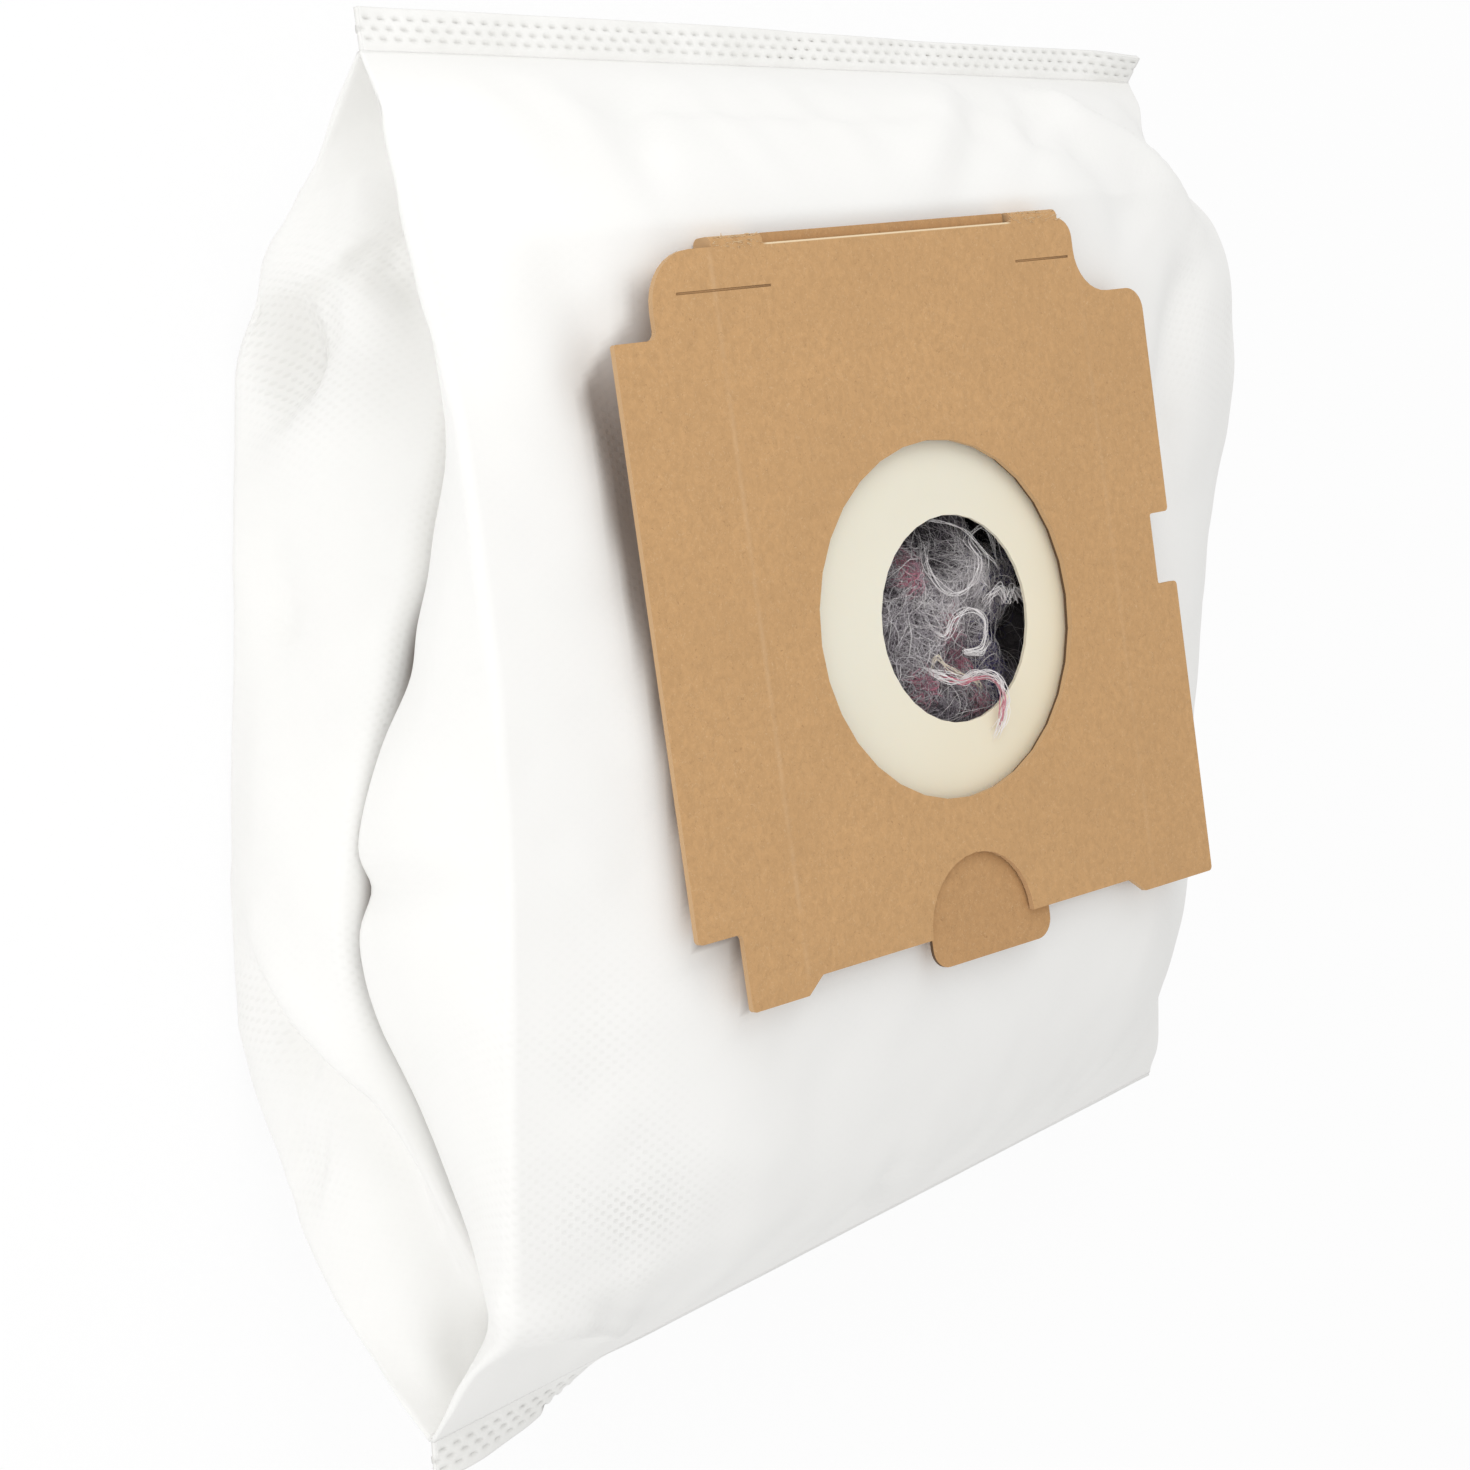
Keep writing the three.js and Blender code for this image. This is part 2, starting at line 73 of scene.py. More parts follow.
camera_data = bpy.data.cameras.new("camera")
camera_data.lens = LENS_MM
camera_data.sensor_width = 36
camera = bpy.data.objects.new("camera", camera_data)
bpy.context.scene.collection.objects.link(camera)
view_back = VIEW_RIGHT.cross(VIEW_UP).normalized()
turn = Matrix((VIEW_RIGHT, VIEW_UP, view_back)).transposed().to_4x4()
collar_centre = Vector((COLLAR_X, COLLAR_Y, COLLAR_Z))
camera.matrix_world = Matrix.Translation((collar_centre + Vector(CAMERA_FROM_COLLAR)) * MM) @ turn
bpy.context.scene.camera = camera
bpy.context.scene.view_settings.view_transform = "Standard"
print("camera at", [round(v, 3) for v in camera.location])

# %% [markdown]
# Node materials are built by a small helper that makes a node, sets its sockets and links what is
# given as a socket. It keeps each finish short enough to read as a recipe.

# %% Node helper
def new_material(name, roughness=0.9, **sockets):
    """A material with a Principled shader, whose sockets are set by name."""
    material = bpy.data.materials.new(name)
    material.use_nodes = True
    shader = material.node_tree.nodes["Principled BSDF"]
    shader.inputs["Roughness"].default_value = roughness
    for socket, value in sockets.items():
        shader.inputs[socket.replace("_", " ")].default_value = value
    return material, shader


def node(owner, kind, settings=None, **sockets):
    """A node of that kind in a material, or where the socket owner belongs. settings are its own
    properties; sockets are numbers, colours or links."""
    tree = owner.node_tree if isinstance(owner, bpy.types.Material) else owner.id_data
    made = tree.nodes.new("ShaderNode" + kind)
    for key, value in (settings or {}).items():
        setattr(made, key, value)
    for key, value in sockets.items():
        numbered = key.startswith("in") and key[2:].isdigit()
        socket = made.inputs[int(key[2:]) if numbered else key.replace("_", " ")]
        if isinstance(value, bpy.types.NodeSocket):
            link(value, socket)
        else:
            socket.default_value = value
    return made


def link(source, target):
    source.id_data.links.new(source, target)


def object_place(material):
    """The socket of a place in the piece's own coordinates."""
    return node(material, "TexCoord").outputs["Object"]


def maths(operation, first, second=0.0):
    """The result socket of one arithmetic step."""
    return node(first, "Math", {"operation": operation}, in0=first, in1=second).outputs[0]


def blend_colour(amount, first, second, most=1.0):
    """A mix of two colours, each a socket or three numbers, by the socket amount, which is scaled by most."""
    if most != 1.0:
        amount = maths("MULTIPLY", amount, most)
    mixer = node(amount, "Mix", {"data_type": "RGBA"}, in0=amount)
    for socket, value in ((mixer.inputs[6], first), (mixer.inputs[7], second)):
        if isinstance(value, bpy.types.NodeSocket):
            link(value, socket)
        else:
            socket.default_value = (*value, 1)
    return mixer.outputs[2]


def noise(place, scale, detail=3.0, roughness=0.5, distortion=0.0):
    """Noise at a place socket, from 0 to 1."""
    return node(place, "TexNoise", None, Vector=place, Scale=scale, Detail=detail,
                Roughness=roughness, Distortion=distortion).outputs[0]


def ramp(value, low, high):
    """value rescaled and clamped, so that low becomes 0 and high becomes 1."""
    return node(value, "MapRange", None, Value=value, From_Min=low, From_Max=high).outputs[0]


def bump(shader, height, distance, strength=1.0, below=None):
    """A bump from a height socket, on top of the bump below it if one is given."""
    made = node(height, "Bump", None, Height=height, Distance=distance, Strength=strength)
    if below is not None:
        link(below, made.inputs["Normal"])
    link(made.outputs[0], shader.inputs["Normal"])
    return made.outputs[0]


print("node helper ready")

# %% [markdown]
# The fleece is a soft non-woven felt. Rollers press rows of small dots into it, one in the middle of
# every four, about 2 mm apart. Two cosines multiplied give that staggered lattice. They read the
# piece's own UV map, which counts metres along the cloth, so the pattern bends with every fold. The
# lattice is crisp only in places, and the number "crisp" on the mesh says where. Real dents would need
# millions of faces, so a bump does the work.

# %% Fleece finish
EMBOSS_PITCH = (2.4 * MM, 1.8 * MM)
FLEECE_TONE = (0.90, 0.895, 0.875)


def fleece_material(name, tone):
    """White felt with a pressed lattice and a fine fibre bump, and grey-brown shade painted deep in the slits
    and under the wing.
    """
    material, shader = new_material(name, 0.9)
    shader.inputs["Sheen Weight"].default_value = 0.08
    shader.inputs["Sheen Roughness"].default_value = 0.6
    uv = node(material, "UVMap", {"uv_map": "cloth"}).outputs[0]
    axes = node(material, "SeparateXYZ", None, Vector=uv)
    waves = [maths("COSINE", maths("MULTIPLY", axis, 2 * np.pi / pitch))
             for axis, pitch in zip(axes.outputs, EMBOSS_PITCH)]
    lattice = ramp(maths("MULTIPLY", *waves), 0.1, 0.8)
    crisp = node(material, "Attribute", {"attribute_name": "crisp"}).outputs["Fac"]
    painted_shade = node(material, "Attribute", {"attribute_name": "painted_shade"}).outputs["Fac"]
    place = object_place(material)
    patchy = ramp(noise(place, 60.0, 3.0), 0.3, 0.7)
    pressed = maths("MULTIPLY", lattice, maths("MULTIPLY", crisp, patchy))
    clouds = ramp(noise(place, 30.0, 4.0, 0.55), 0.35, 0.75)
    soft = blend_colour(clouds, tone, [c * 0.98 for c in tone])
    dotted = blend_colour(pressed, soft, (0.62, 0.61, 0.58), 0.35)
    # painted shade: grey-brown deep in the slits and in the gap under the card's wing
    shaded = blend_colour(painted_shade, dotted, (0.20, 0.15, 0.12))
    link(shaded, shader.inputs["Base Color"])
    fibres = noise(place, 1500.0, 3.0, 0.7, 0.6)
    fibre_bump = bump(shader, fibres, 0.05 * MM, 0.5)
    bump(shader, maths("MULTIPLY", pressed, -1.0), 0.10 * MM, 1.0, fibre_bump)
    return material


fleece = fleece_material("fleece", FLEECE_TONE)
print("fleece emboss pitch", [pitch / MM for pitch in EMBOSS_PITCH], "mm")

# %% [markdown]
# The body is lofted through sections across the bag. A few listed sections say where the two
# creases, the slit of the gusset and its inner weld are, and a smooth curve through them gives every
# row between. Left and right have a list each, because the bag is soft and leans. A box could be
# pulled into shape by hand too, but sections are numbers that can be read from a photo one by one.

# %% Sections of the bag
BAG_DEPTH = 80.8
SEAM_LENGTH = 195.0
LEAN_ACROSS = 21.0
TOP_SEAM = (102.0, 94.0)
BOTTOM_SEAM = (-117.0, -105.5)
STRIP_WIDTH = 7.0
FLEECE_THICK = 0.6
LAYER_PITCH = 0.9
SIDE_WELD = 6.0
CREASE_ROUND = 1.6
REAR_SAG = 14.0

# share of the height, front crease in and up, rear crease in and up, front lip in, weld further in,
# how far the rear lip stands out past the front one, half of the slit's opening
LEFT_SECTIONS = np.array([
    (0.00, 0.0, 0.51, 0.0, 0.51, 24, 22, 0.0, 0.2),
    (0.05, 0.3, 0.63, -1.0, 0.36, 19, 20, 0.3, 0.4),
    (0.09, 0.5, 0.775, -1.6, 0.26, 15.5, 19, 0.6, 0.6),
    (0.12, 0.0, 0.80, -2.0, 0.20, 13, 18, 1.0, 0.8),
    (0.24, -1.2, 0.85, -4.0, 0.06, 5, 14, 3.0, 0.2),
    (0.35, -1.0, 0.88, -5.0, 0.00, -4, 11, 2.5, 0.4),
    (0.45, -1.0, 0.90, -3.5, 0.00, -3, 10, 1.5, 0.1),
    (0.51, -1.5, 0.905, -2.5, 0.00, 2.5, 13, 2.2, 0.6),
    (0.55, -1.8, 0.91, -1.5, 0.00, 8, 15, 3.5, 1.2),
    (0.59, -2.4, 0.91, -0.6, 0.00, 11, 16, 4.2, 0.5),
    (0.62, -2.9, 0.91, 0.1, 0.00, 14, 15.5, 4.4, -0.1),
    (0.66, -3.4, 0.91, 0.8, 0.00, 17, 15, 4.6, -0.25),
    (0.72, -4.0, 0.90, 2.0, 0.00, 22.5, 14, 4.6, -0.3),
    (0.84, -4.0, 0.81, 4.5, 0.08, 30, 11, 3.0, -0.2),
    (0.93, -1.5, 0.70, 5.0, 0.33, 27, 16, 1.0, 0.0),
    (1.00, 0.0, 0.60, 0.0, 0.60, 24, 22, 0.0, 0.2),
])
RIGHT_SECTIONS = np.array([
    (0.00, 0.0, 0.36, 0.0, 0.36, 24, 22, 0.0, 0.2),
    (0.05, 5.0, 0.43, 1.0, 0.24, 22, 18, 0.0, 0.4),
    (0.12, 9.0, 0.50, 1.0, 0.12, 20, 14, 0.0, 0.8),
    (0.24, 11.0, 0.575, 2.0, 0.03, 18, 12, 0.5, 1.2),
    (0.35, 9.0, 0.62, 2.0, 0.00, 17, 12, 1.0, 1.2),
    (0.45, 7.0, 0.66, 2.0, 0.00, 16, 12, 1.5, 1.2),
    (0.57, 6.0, 0.72, 2.0, 0.00, 18, 12, 2.0, 1.2),
    (0.72, 7.0, 0.82, 2.0, 0.00, 22, 12, 2.0, 1.2),
    (0.84, 9.0, 0.80, 2.0, 0.06, 25, 13, 1.0, 0.8),
    (0.93, 11.5, 0.64, 2.0, 0.24, 26, 16, 0.5, 0.5),
    (1.00, 0.0, 0.47, 0.0, 0.47, 24, 22, 0.0, 0.2),
])
# the hole low in the left slit, where the front lip has slipped in
SLIP_SHARE = 0.405
SLIP_LENGTH = 0.02
SLIP_DEPTH = 3.4
# places along a side: on the weld, up to the slit's lip, across the gusset, round the crease
SIDE_COUNTS = (4, 14, 40, 8)
LIP_COLUMN = SIDE_COUNTS[0] + SIDE_COUNTS[1] - 2
print("sections:", len(LEFT_SECTIONS), "on the left,", len(RIGHT_SECTIONS), "on the right")

# %% [markdown]
# One side of a row is four curves end to end: over the weld, out to the slit's lip, across the gusset
# and round the crease. Each leans to one place between its ends. All rows are worked out at once.

# %% One side of every row
def step(value, low, high):
    """A smooth step: 0 below low, 1 above high, with no corner at either end."""
    t = np.clip((value - low) / (high - low), 0, 1)
    return t * t * (3 - 2 * t)


def blend(first, second, share):
    return first + (second - first) * share


def curve_through(at, values, share):
    """A cubic curve through each column of values; its slope at a knot is that of its neighbours."""
    slope = np.gradient(values, at, axis=0)
    i = np.clip(np.searchsorted(at, share, side="right") - 1, 0, len(at) - 2)
    width = at[i + 1] - at[i]
    t = ((share - at[i]) / width)[:, None]
    width = width[:, None]
    return ((1 + 2 * t) * (1 - t) ** 2 * values[i] + t * (1 - t) ** 2 * width * slope[i]
            + t * t * (3 - 2 * t) * values[i + 1] + t * t * (t - 1) * width * slope[i + 1])


def bezier(a, b, c, count):
    """Points (rows, count, 2) of a curve from a to c that leans to b: (1-q)^2 a + 2q(1-q) b + q^2 c."""
    q = np.linspace(0, 1, count)[None, :, None]
    a, b, c = a[:, None], b[:, None], c[:, None]
    return (1 - q) ** 2 * a + 2 * q * (1 - q) * b + q * q * c


def soften(points, first, last, times):
    """The rows' points with their corners rounded: each is a quarter of both neighbours and half itself."""
    for turn in range(times):
        before, after = points[:, first - 1:last - 1], points[:, first + 1:last + 1]
        middle = (before + 2 * points[:, first:last] + after) / 4
        points = np.concatenate([points[:, :first], middle, points[:, last:]], 1)
    return points


def side_section(share, side, layer, bulge):
    """One side of every row, from the side weld's edge to the edge of the panel, as (rows, n, 2) of x, z."""
    table = LEFT_SECTIONS if side < 0 else RIGHT_SECTIONS
    places = curve_through(table[:, 0], table[:, 1:], share).T
    front_in, front_up, rear_in, rear_up, lip_in, tuck, rim, mouth = places
    near = np.minimum(share, 1 - share)
    opened = step(near, 0, 0.1)
    pitch = LAYER_PITCH * blend(0.3, 1, step(near, 0, 0.03))
    seam_end = blend(0, LEAN_ACROSS, share) + side * SEAM_LENGTH / 2
    front_z = front_up * BAG_DEPTH + 1.5 * pitch
    rear_z = np.maximum(FLEECE_THICK / 2, rear_up * BAG_DEPTH - 1.5 * pitch)
    slit_z = (front_z + rear_z) / 2
    panel_z = front_z if layer > 0 else rear_z
    edge_x = seam_end - side * (front_in if layer > 0 else rear_in)
    weld_z = slit_z + layer * pitch / 2
    weld = np.stack([seam_end - side * (lip_in + tuck), weld_z], 1)
    tip = weld - [side * SIDE_WELD, 0]
    slip = SLIP_DEPTH * np.exp(-((share - SLIP_SHARE) / SLIP_LENGTH) ** 2) * (side < 0)
    lip_x = seam_end - side * (lip_in + slip if layer > 0 else lip_in - rim)
    lip = np.stack([lip_x, weld_z + layer * mouth * opened], 1)
    top = np.stack([edge_x - side * blend(0.6, CREASE_ROUND, opened), panel_z], 1)
    low = np.stack([edge_x - side * blend(0.6, 0, opened),
                    panel_z - layer * blend(pitch, CREASE_ROUND * 1.4, opened)], 1)
    corner = np.stack([edge_x, panel_z - layer * 0.2 * opened], 1)
    swell = (low + lip) / 2 + np.stack([side * bulge * opened, 0 * opened], 1)
    mid = np.stack([blend(lip[:, 0], weld[:, 0], 0.45), weld_z + layer * 1.3 * mouth * opened], 1)
    bends = ((tip, (tip + weld) / 2, weld), (weld, mid, lip), (lip, swell, low), (low, corner, top))
    parts = [bezier(*bend, count)[:, :-1] for bend, count in zip(bends, SIDE_COUNTS)] + [top[:, None]]
    return soften(np.concatenate(parts, 1), LIP_COLUMN - 5, LIP_COLUMN + 6, 3), slit_z


print("points on a side:", sum(SIDE_COUNTS) - 3)

# %% [markdown]
# The panel between the creases is flat where the collar is glued and falls away from it to the
# creases and seams, as a filled bag does. The rear panel lies on the floor and only lifts at its ends.

# %% Rows of the panels
PAD_HALF_WIDTH = 49.0
PAD_TOP = 69.0
PAD_BOTTOM = -53.0


def pad_share(x, y, left_x, right_x, low_y, high_y):
    """1 under the collar, then (1-q)(1+cq) out to 0 at the creases and seams, q the share of the way."""
    def fall(q, crown):
        q = np.clip(q, 0, 1)
        return (1 - q) * (1 + crown * q)
    sideways = np.where(x < -PAD_HALF_WIDTH, (-PAD_HALF_WIDTH - x) / (-PAD_HALF_WIDTH - left_x),
                        (x - PAD_HALF_WIDTH) / (right_x - PAD_HALF_WIDTH))
    lengthways = np.where(y > PAD_TOP, (y - PAD_TOP) / (high_y - PAD_TOP),
                          (PAD_BOTTOM - y) / (PAD_BOTTOM - low_y))
    return fall(sideways, 0.7) * fall(lengthways, 0.4)


def sheet_grid(layer, row_count, panel_count, bulge=4.0):
    """Points (rows, columns, 3) of a whole sheet, in mm from the collar's centre, the floor at 0."""
    even = np.linspace(0, 1, row_count)
    share = blend(even, (1 - np.cos(np.pi * even)) / 2, 0.35)
    left, left_slit = side_section(share, -1, layer, bulge)
    right, right_slit = side_section(share, 1, layer, bulge)
    closed = 1 - step(np.minimum(share, 1 - share), 0, 0.1)
    left_y = blend(BOTTOM_SEAM[0], TOP_SEAM[0], share)
    right_y = blend(BOTTOM_SEAM[1], TOP_SEAM[1], share)
    u = np.linspace(0, 1, panel_count + 2)[1:-1][None]
    left_x, right_x = left[:, -1, :1], right[:, -1, :1]
    x = blend(left_x, right_x, u)
    y = blend(left_y[:, None], right_y[:, None], u)
    edge_z = blend(left[:, -1, 1:], right[:, -1, 1:], u)
    if layer > 0:
        low_y, high_y = blend(*BOTTOM_SEAM, u), blend(*TOP_SEAM, u)
        z = blend(edge_z, BAG_DEPTH - FLEECE_THICK / 2, pad_share(x, y, left_x, right_x, low_y, high_y))
    else:
        sagged = np.maximum(FLEECE_THICK / 2, edge_z - REAR_SAG * 4 * u * (1 - u))
        z = blend(sagged, edge_z, closed[:, None])
    panel = np.stack([x, y, z], 2)

    def place(points, own_slit):
        across = (points[..., 0] - left_x) / (right_x - left_x)
        slope = closed[:, None] * (blend(left_slit[:, None], right_slit[:, None], across) - own_slit[:, None])
        return np.stack([points[..., 0], blend(left_y[:, None], right_y[:, None], across),
                         points[..., 1] + slope], 2)
    grid = np.concatenate([place(left, left_slit), panel, place(right, right_slit)[:, ::-1]], 1)
    return grid, share


print("panel pad", 2 * PAD_HALF_WIDTH, "x", PAD_TOP - PAD_BOTTOM, "mm")

# %% [markdown]
# A mesh is built from whole arrays: the corners of all its faces come from one grid of numbers. A
# sheet gets its thickness from a Solidify modifier, because a modelled inner side would have to follow
# every fold, and its UV map counts metres along the cloth.

# %% Meshes from grids of points
def grid_normals(grid):
    """Unit normals of a grid of points, from the slopes along its two ways."""
    normal = np.cross(np.gradient(grid, axis=1), np.gradient(grid, axis=0))
    return normal / np.maximum(np.linalg.norm(normal, axis=2, keepdims=True), 1e-9)


def to_frame(points):
    """Millimetres from the collar's centre to metres in the frame."""
    return (points + [COLLAR_X, COLLAR_Y, 0]) * MM


def cloth_lengths(grid):
    """UV in metres: the length along each row from its middle, and along the middle column."""
    def along(axis):
        steps = np.linalg.norm(np.diff(grid, axis=axis), axis=2)
        run = np.cumsum(steps, axis=axis)
        return np.insert(run, 0, 0, axis=axis)
    across = along(1)
    across -= across[:, across.shape[1] // 2][:, None]
    return np.stack([across, along(0)], 2) * MM


def piece_of(name, points, faces, material, uv=None):
    """A smooth mesh of points (n, 3) in metres and a list of arrays of faces, each of one size of face."""
    mesh = bpy.data.meshes.new(name)
    corners = np.concatenate([group.reshape(-1) for group in faces])
    sizes = np.concatenate([np.full(len(group), group.shape[1]) for group in faces])
    mesh.vertices.add(len(points))
    mesh.vertices.foreach_set("co", points.reshape(-1).astype(np.float32))
    mesh.loops.add(len(corners))
    mesh.loops.foreach_set("vertex_index", corners.astype(np.int32))
    mesh.polygons.add(len(sizes))
    mesh.polygons.foreach_set("loop_start", (np.cumsum(sizes) - sizes).astype(np.int32))
    mesh.polygons.foreach_set("use_smooth", np.ones(len(sizes), bool))
    mesh.update(calc_edges=True)
    if uv is not None:
        layer = mesh.uv_layers.new(name="cloth")
        layer.data.foreach_set("uv", uv.reshape(-1, 2)[corners].reshape(-1).astype(np.float32))
    mesh.materials.append(material)
    made = bpy.data.objects.new(name, mesh)
    bpy.context.scene.collection.objects.link(made)
    return made


def grid_object(name, grid, material, uv=None, thick=0.0, keep=None, flip=False):
    """A piece of quads over a grid of points in metres; keep says which quads stay, flip turns them over."""
    rows, columns = grid.shape[:2]
    index = np.arange(rows * columns).reshape(rows, columns)
    quads = np.stack([index[:-1, :-1], index[:-1, 1:], index[1:, 1:], index[1:, :-1]], -1)
    quads = quads[keep] if keep is not None else quads.reshape(-1, 4)
    made = piece_of(name, grid.reshape(-1, 3), [quads[:, ::-1] if flip else quads], material, uv)
    if thick:
        wall = made.modifiers.new("wall", "SOLIDIFY")
        wall.thickness = thick * MM
        wall.offset = 0
    return made


def tube_bundle(name, points, material):
    """Closed tubes in one mesh, from points (tubes, steps, sides, 3) in metres that go round each tube."""
    count, steps, sides = points.shape[:3]
    index = np.arange(count * steps * sides).reshape(count, steps, sides)
    ahead = np.roll(index, -1, axis=2)
    walls = np.stack([index[:, :-1], ahead[:, :-1], ahead[:, 1:], index[:, 1:]], -1).reshape(-1, 4)
    return piece_of(name, points.reshape(-1, 3), [walls, index[:, 0, ::-1], index[:, -1]], material)


print("mesh helpers ready")

# %% [markdown]
# Folds give the soft bag its look. Each is a line through places on the bag, in millimetres from the
# collar's centre and above the floor. The cloth is pushed out along it, or in where the height is
# negative, and the push dies away on either side at a width of its own. A cloth simulation makes
# folds as well, but not the folds of one photo.

# %% Folds of the gusset and of the panels
# height, width on the first side, width on the other side, places along the fold
REAR_FOLDS = [
    (3.5, 3.5, 8.0, [(-76, 70, 6), (-72, 70, 14), (-69, 72, 19), (-67, 76, 24), (-64, 78, 28),
                     (-60, 79, 32)]),
    (-10.0, 8.5, 8.5, [(-79, 58, 7), (-74, 60, 12), (-70, 61, 17)]),
    (3.0, 3.0, 9.0, [(-66, 75, 24), (-66, 68, 22), (-66, 60, 21), (-70, 53, 19), (-75, 46, 16),
                     (-79, 42, 7)]),
    (0.9, 1.2, 1.2, [(-73, 69, 13), (-73, 60, 13), (-75, 46, 15)]),
    (2.5, 8.0, 8.0, [(-66, 70, 26), (-67, 55, 26), (-71, 38, 22)]),
    (-3.0, 4.0, 4.0, [(-63, 72, 26), (-59, 68, 29), (-58, 63, 30)]),
    (-3.0, 5.0, 7.0, [(-82, 30, 3), (-83, 20, 10), (-84, 11, 16)]),
    (1.5, 8.0, 8.0, [(-86, 5, 5), (-89, -8, 12), (-93, -22, 20)]),
    (-7.0, 9.0, 3.5, [(-96, -40, 3), (-98, -47, 15), (-96, -57, 23), (-93, -64, 29), (-90, -75, 33),
                      (-85, -88, 38)]),
    (3.0, 3.0, 6.0, [(-97, -32, 10), (-98, -42, 20), (-95, -54, 29), (-92, -66, 35), (-87, -80, 39)]),
    (-3.0, 6.0, 6.0, [(-97, -54, 10), (-97, -57, 18)]),
    (-3.0, 7.0, 7.0, [(-96, -72, 10), (-95, -74, 19)]),
]
FRONT_FOLDS = [
    (-3.0, 6.0, 8.0, [(-57, 54, 78), (-58, 16, 78)]),
    (1.6, 6.0, 5.0, [(-63, 4, 79), (-61, -46, 79)]),
    (2.6, 4.0, 2.5, [(-95, -93, 63), (-81, -99, 63), (-64, -105, 54)]),
    (-2.8, 4.0, 6.0, [(60, 95, 44), (44, 86, 66), (17, 68, 79)]),
    (1.8, 5.0, 5.0, [(50, 95, 48), (34, 84, 68), (10, 70, 79)]),
    (-2.0, 3.0, 3.5, [(69, 91, 52), (52, 80, 71), (35, 67, 79)]),
    (3.2, 6.0, 5.0, [(72, 93, 48), (70, 84, 65), (82, 76, 68), (92, 62, 71)]),
    (-2.6, 8.0, 8.0, [(58, 82, 70), (66, 70, 75), (72, 60, 76)]),
    (-4.0, 7.0, 5.0, [(89, 56, 72), (79, 42, 76), (73, 30, 77), (70, 14, 76)]),
    (-2.4, 9.0, 4.0, [(-24, 98, 50), (-42, 84, 72), (-47, 70, 79)]),
    (-2.0, 5.0, 7.0, [(-40, 91, 62), (0, 89, 65), (28, 87, 66)]),
    (-2.2, 7.0, 6.0, [(-66, 72, 76), (-63, 54, 78), (-64, 38, 79)]),
    (-2.0, 4.0, 3.0, [(3, -103, 50), (-8, -98, 58), (-14, -90, 64)]),
    (-1.8, 4.0, 3.0, [(52, -98, 46), (46, -92, 54), (44, -84, 60)]),
    (1.8, 9.0, 9.0, [(-70, -66, 72), (-40, -84, 68), (0, -92, 62)]),
]


def fold_heights(grid, normal, folds):
    """The push at every point: over all folds, height times exp(-(distance / width)^2)."""
    total = np.zeros(grid.shape[:2])
    for height, first_width, other_width, places in folds:
        places = np.array(places, float)
        lengths = np.linalg.norm(np.diff(places, axis=0), axis=1)
        nearest, along, side = np.full(total.shape, np.inf), np.zeros(total.shape), np.zeros(total.shape)
        for i, length in enumerate(lengths):
            way = (places[i + 1] - places[i]) / length
            reach = np.clip((grid - places[i]) @ way, 0, length)
            offset = grid - places[i] - reach[..., None] * way
            distance = np.linalg.norm(offset, axis=2)
            closer = distance < nearest
            nearest = np.where(closer, distance, nearest)
            along = np.where(closer, (lengths[:i].sum() + reach) / lengths.sum(), along)
            side = np.where(closer, (np.cross(normal, way) * offset).sum(2), side)
        width = blend(first_width, other_width, step(side, -1.5, 1.5))
        fade = step(along, -0.2, 0.3) * step(1 - along, -0.2, 0.3)
        total += height * fade * np.exp(-(nearest / width) ** 2)
    return total * step(grid[..., 2], 1, 15)


def soft_waves(cloth, seed, shortest, longest, count=30):
    """Random ripples about 1 high: cosines in random directions, the long ones higher than the short."""
    rng = np.random.default_rng(seed)
    turn, length = rng.uniform(0, np.pi, count), rng.uniform(shortest, longest, count)
    phase = rng.uniform(0, 2 * np.pi, count)
    way = (cloth[..., :1] * np.cos(turn) + cloth[..., 1:] * np.sin(turn)) * 2 * np.pi / length
    return (np.cos(way + phase) * length / longest).sum(-1) / np.sqrt(count)


def puckers(grid, share, seed, strength):
    """Gathers beside both seams: ripples across the bag, highest 8 mm from the seam."""
    rng = np.random.default_rng(seed)
    total = 0
    for away in (share, 1 - share):
        distance = np.abs(away)[:, None] * (TOP_SEAM[0] - BOTTOM_SEAM[0]) / 8.0
        length, phase = rng.uniform(9, 26, 7), rng.uniform(0, 2 * np.pi, 7)
        ripple = np.cos(grid[..., :1] * 2 * np.pi / length + phase).mean(-1)
        total = total + strength * ripple * distance * np.exp(1 - distance)
    return total


print(len(REAR_FOLDS), "folds behind,", len(FRONT_FOLDS), "in front")

# %% [markdown]
# Both sheets are pushed out along their own folds and ripples. Little moves under the glued collar,
# and nothing inside the slits or at the welds, so the pieces stay as they are joined. The front sheet
# has a round hole under the collar; the points nearest its rim are drawn onto the circle.

# %% Grids of the front and rear sheets
HOLE_RADIUS = 29.0
# rows of a sheet, and places across its panel
FRONT_SIZE = (200, 96)
REAR_SIZE = (190, 50)


def outside_share(columns):
    """For each column 0 inside the slits, rising over the lip to 1 on the gussets and the panel."""
    from_edge = np.minimum(np.arange(columns), np.arange(columns)[::-1])
    return step(from_edge, LIP_COLUMN - 1, LIP_COLUMN + 5)


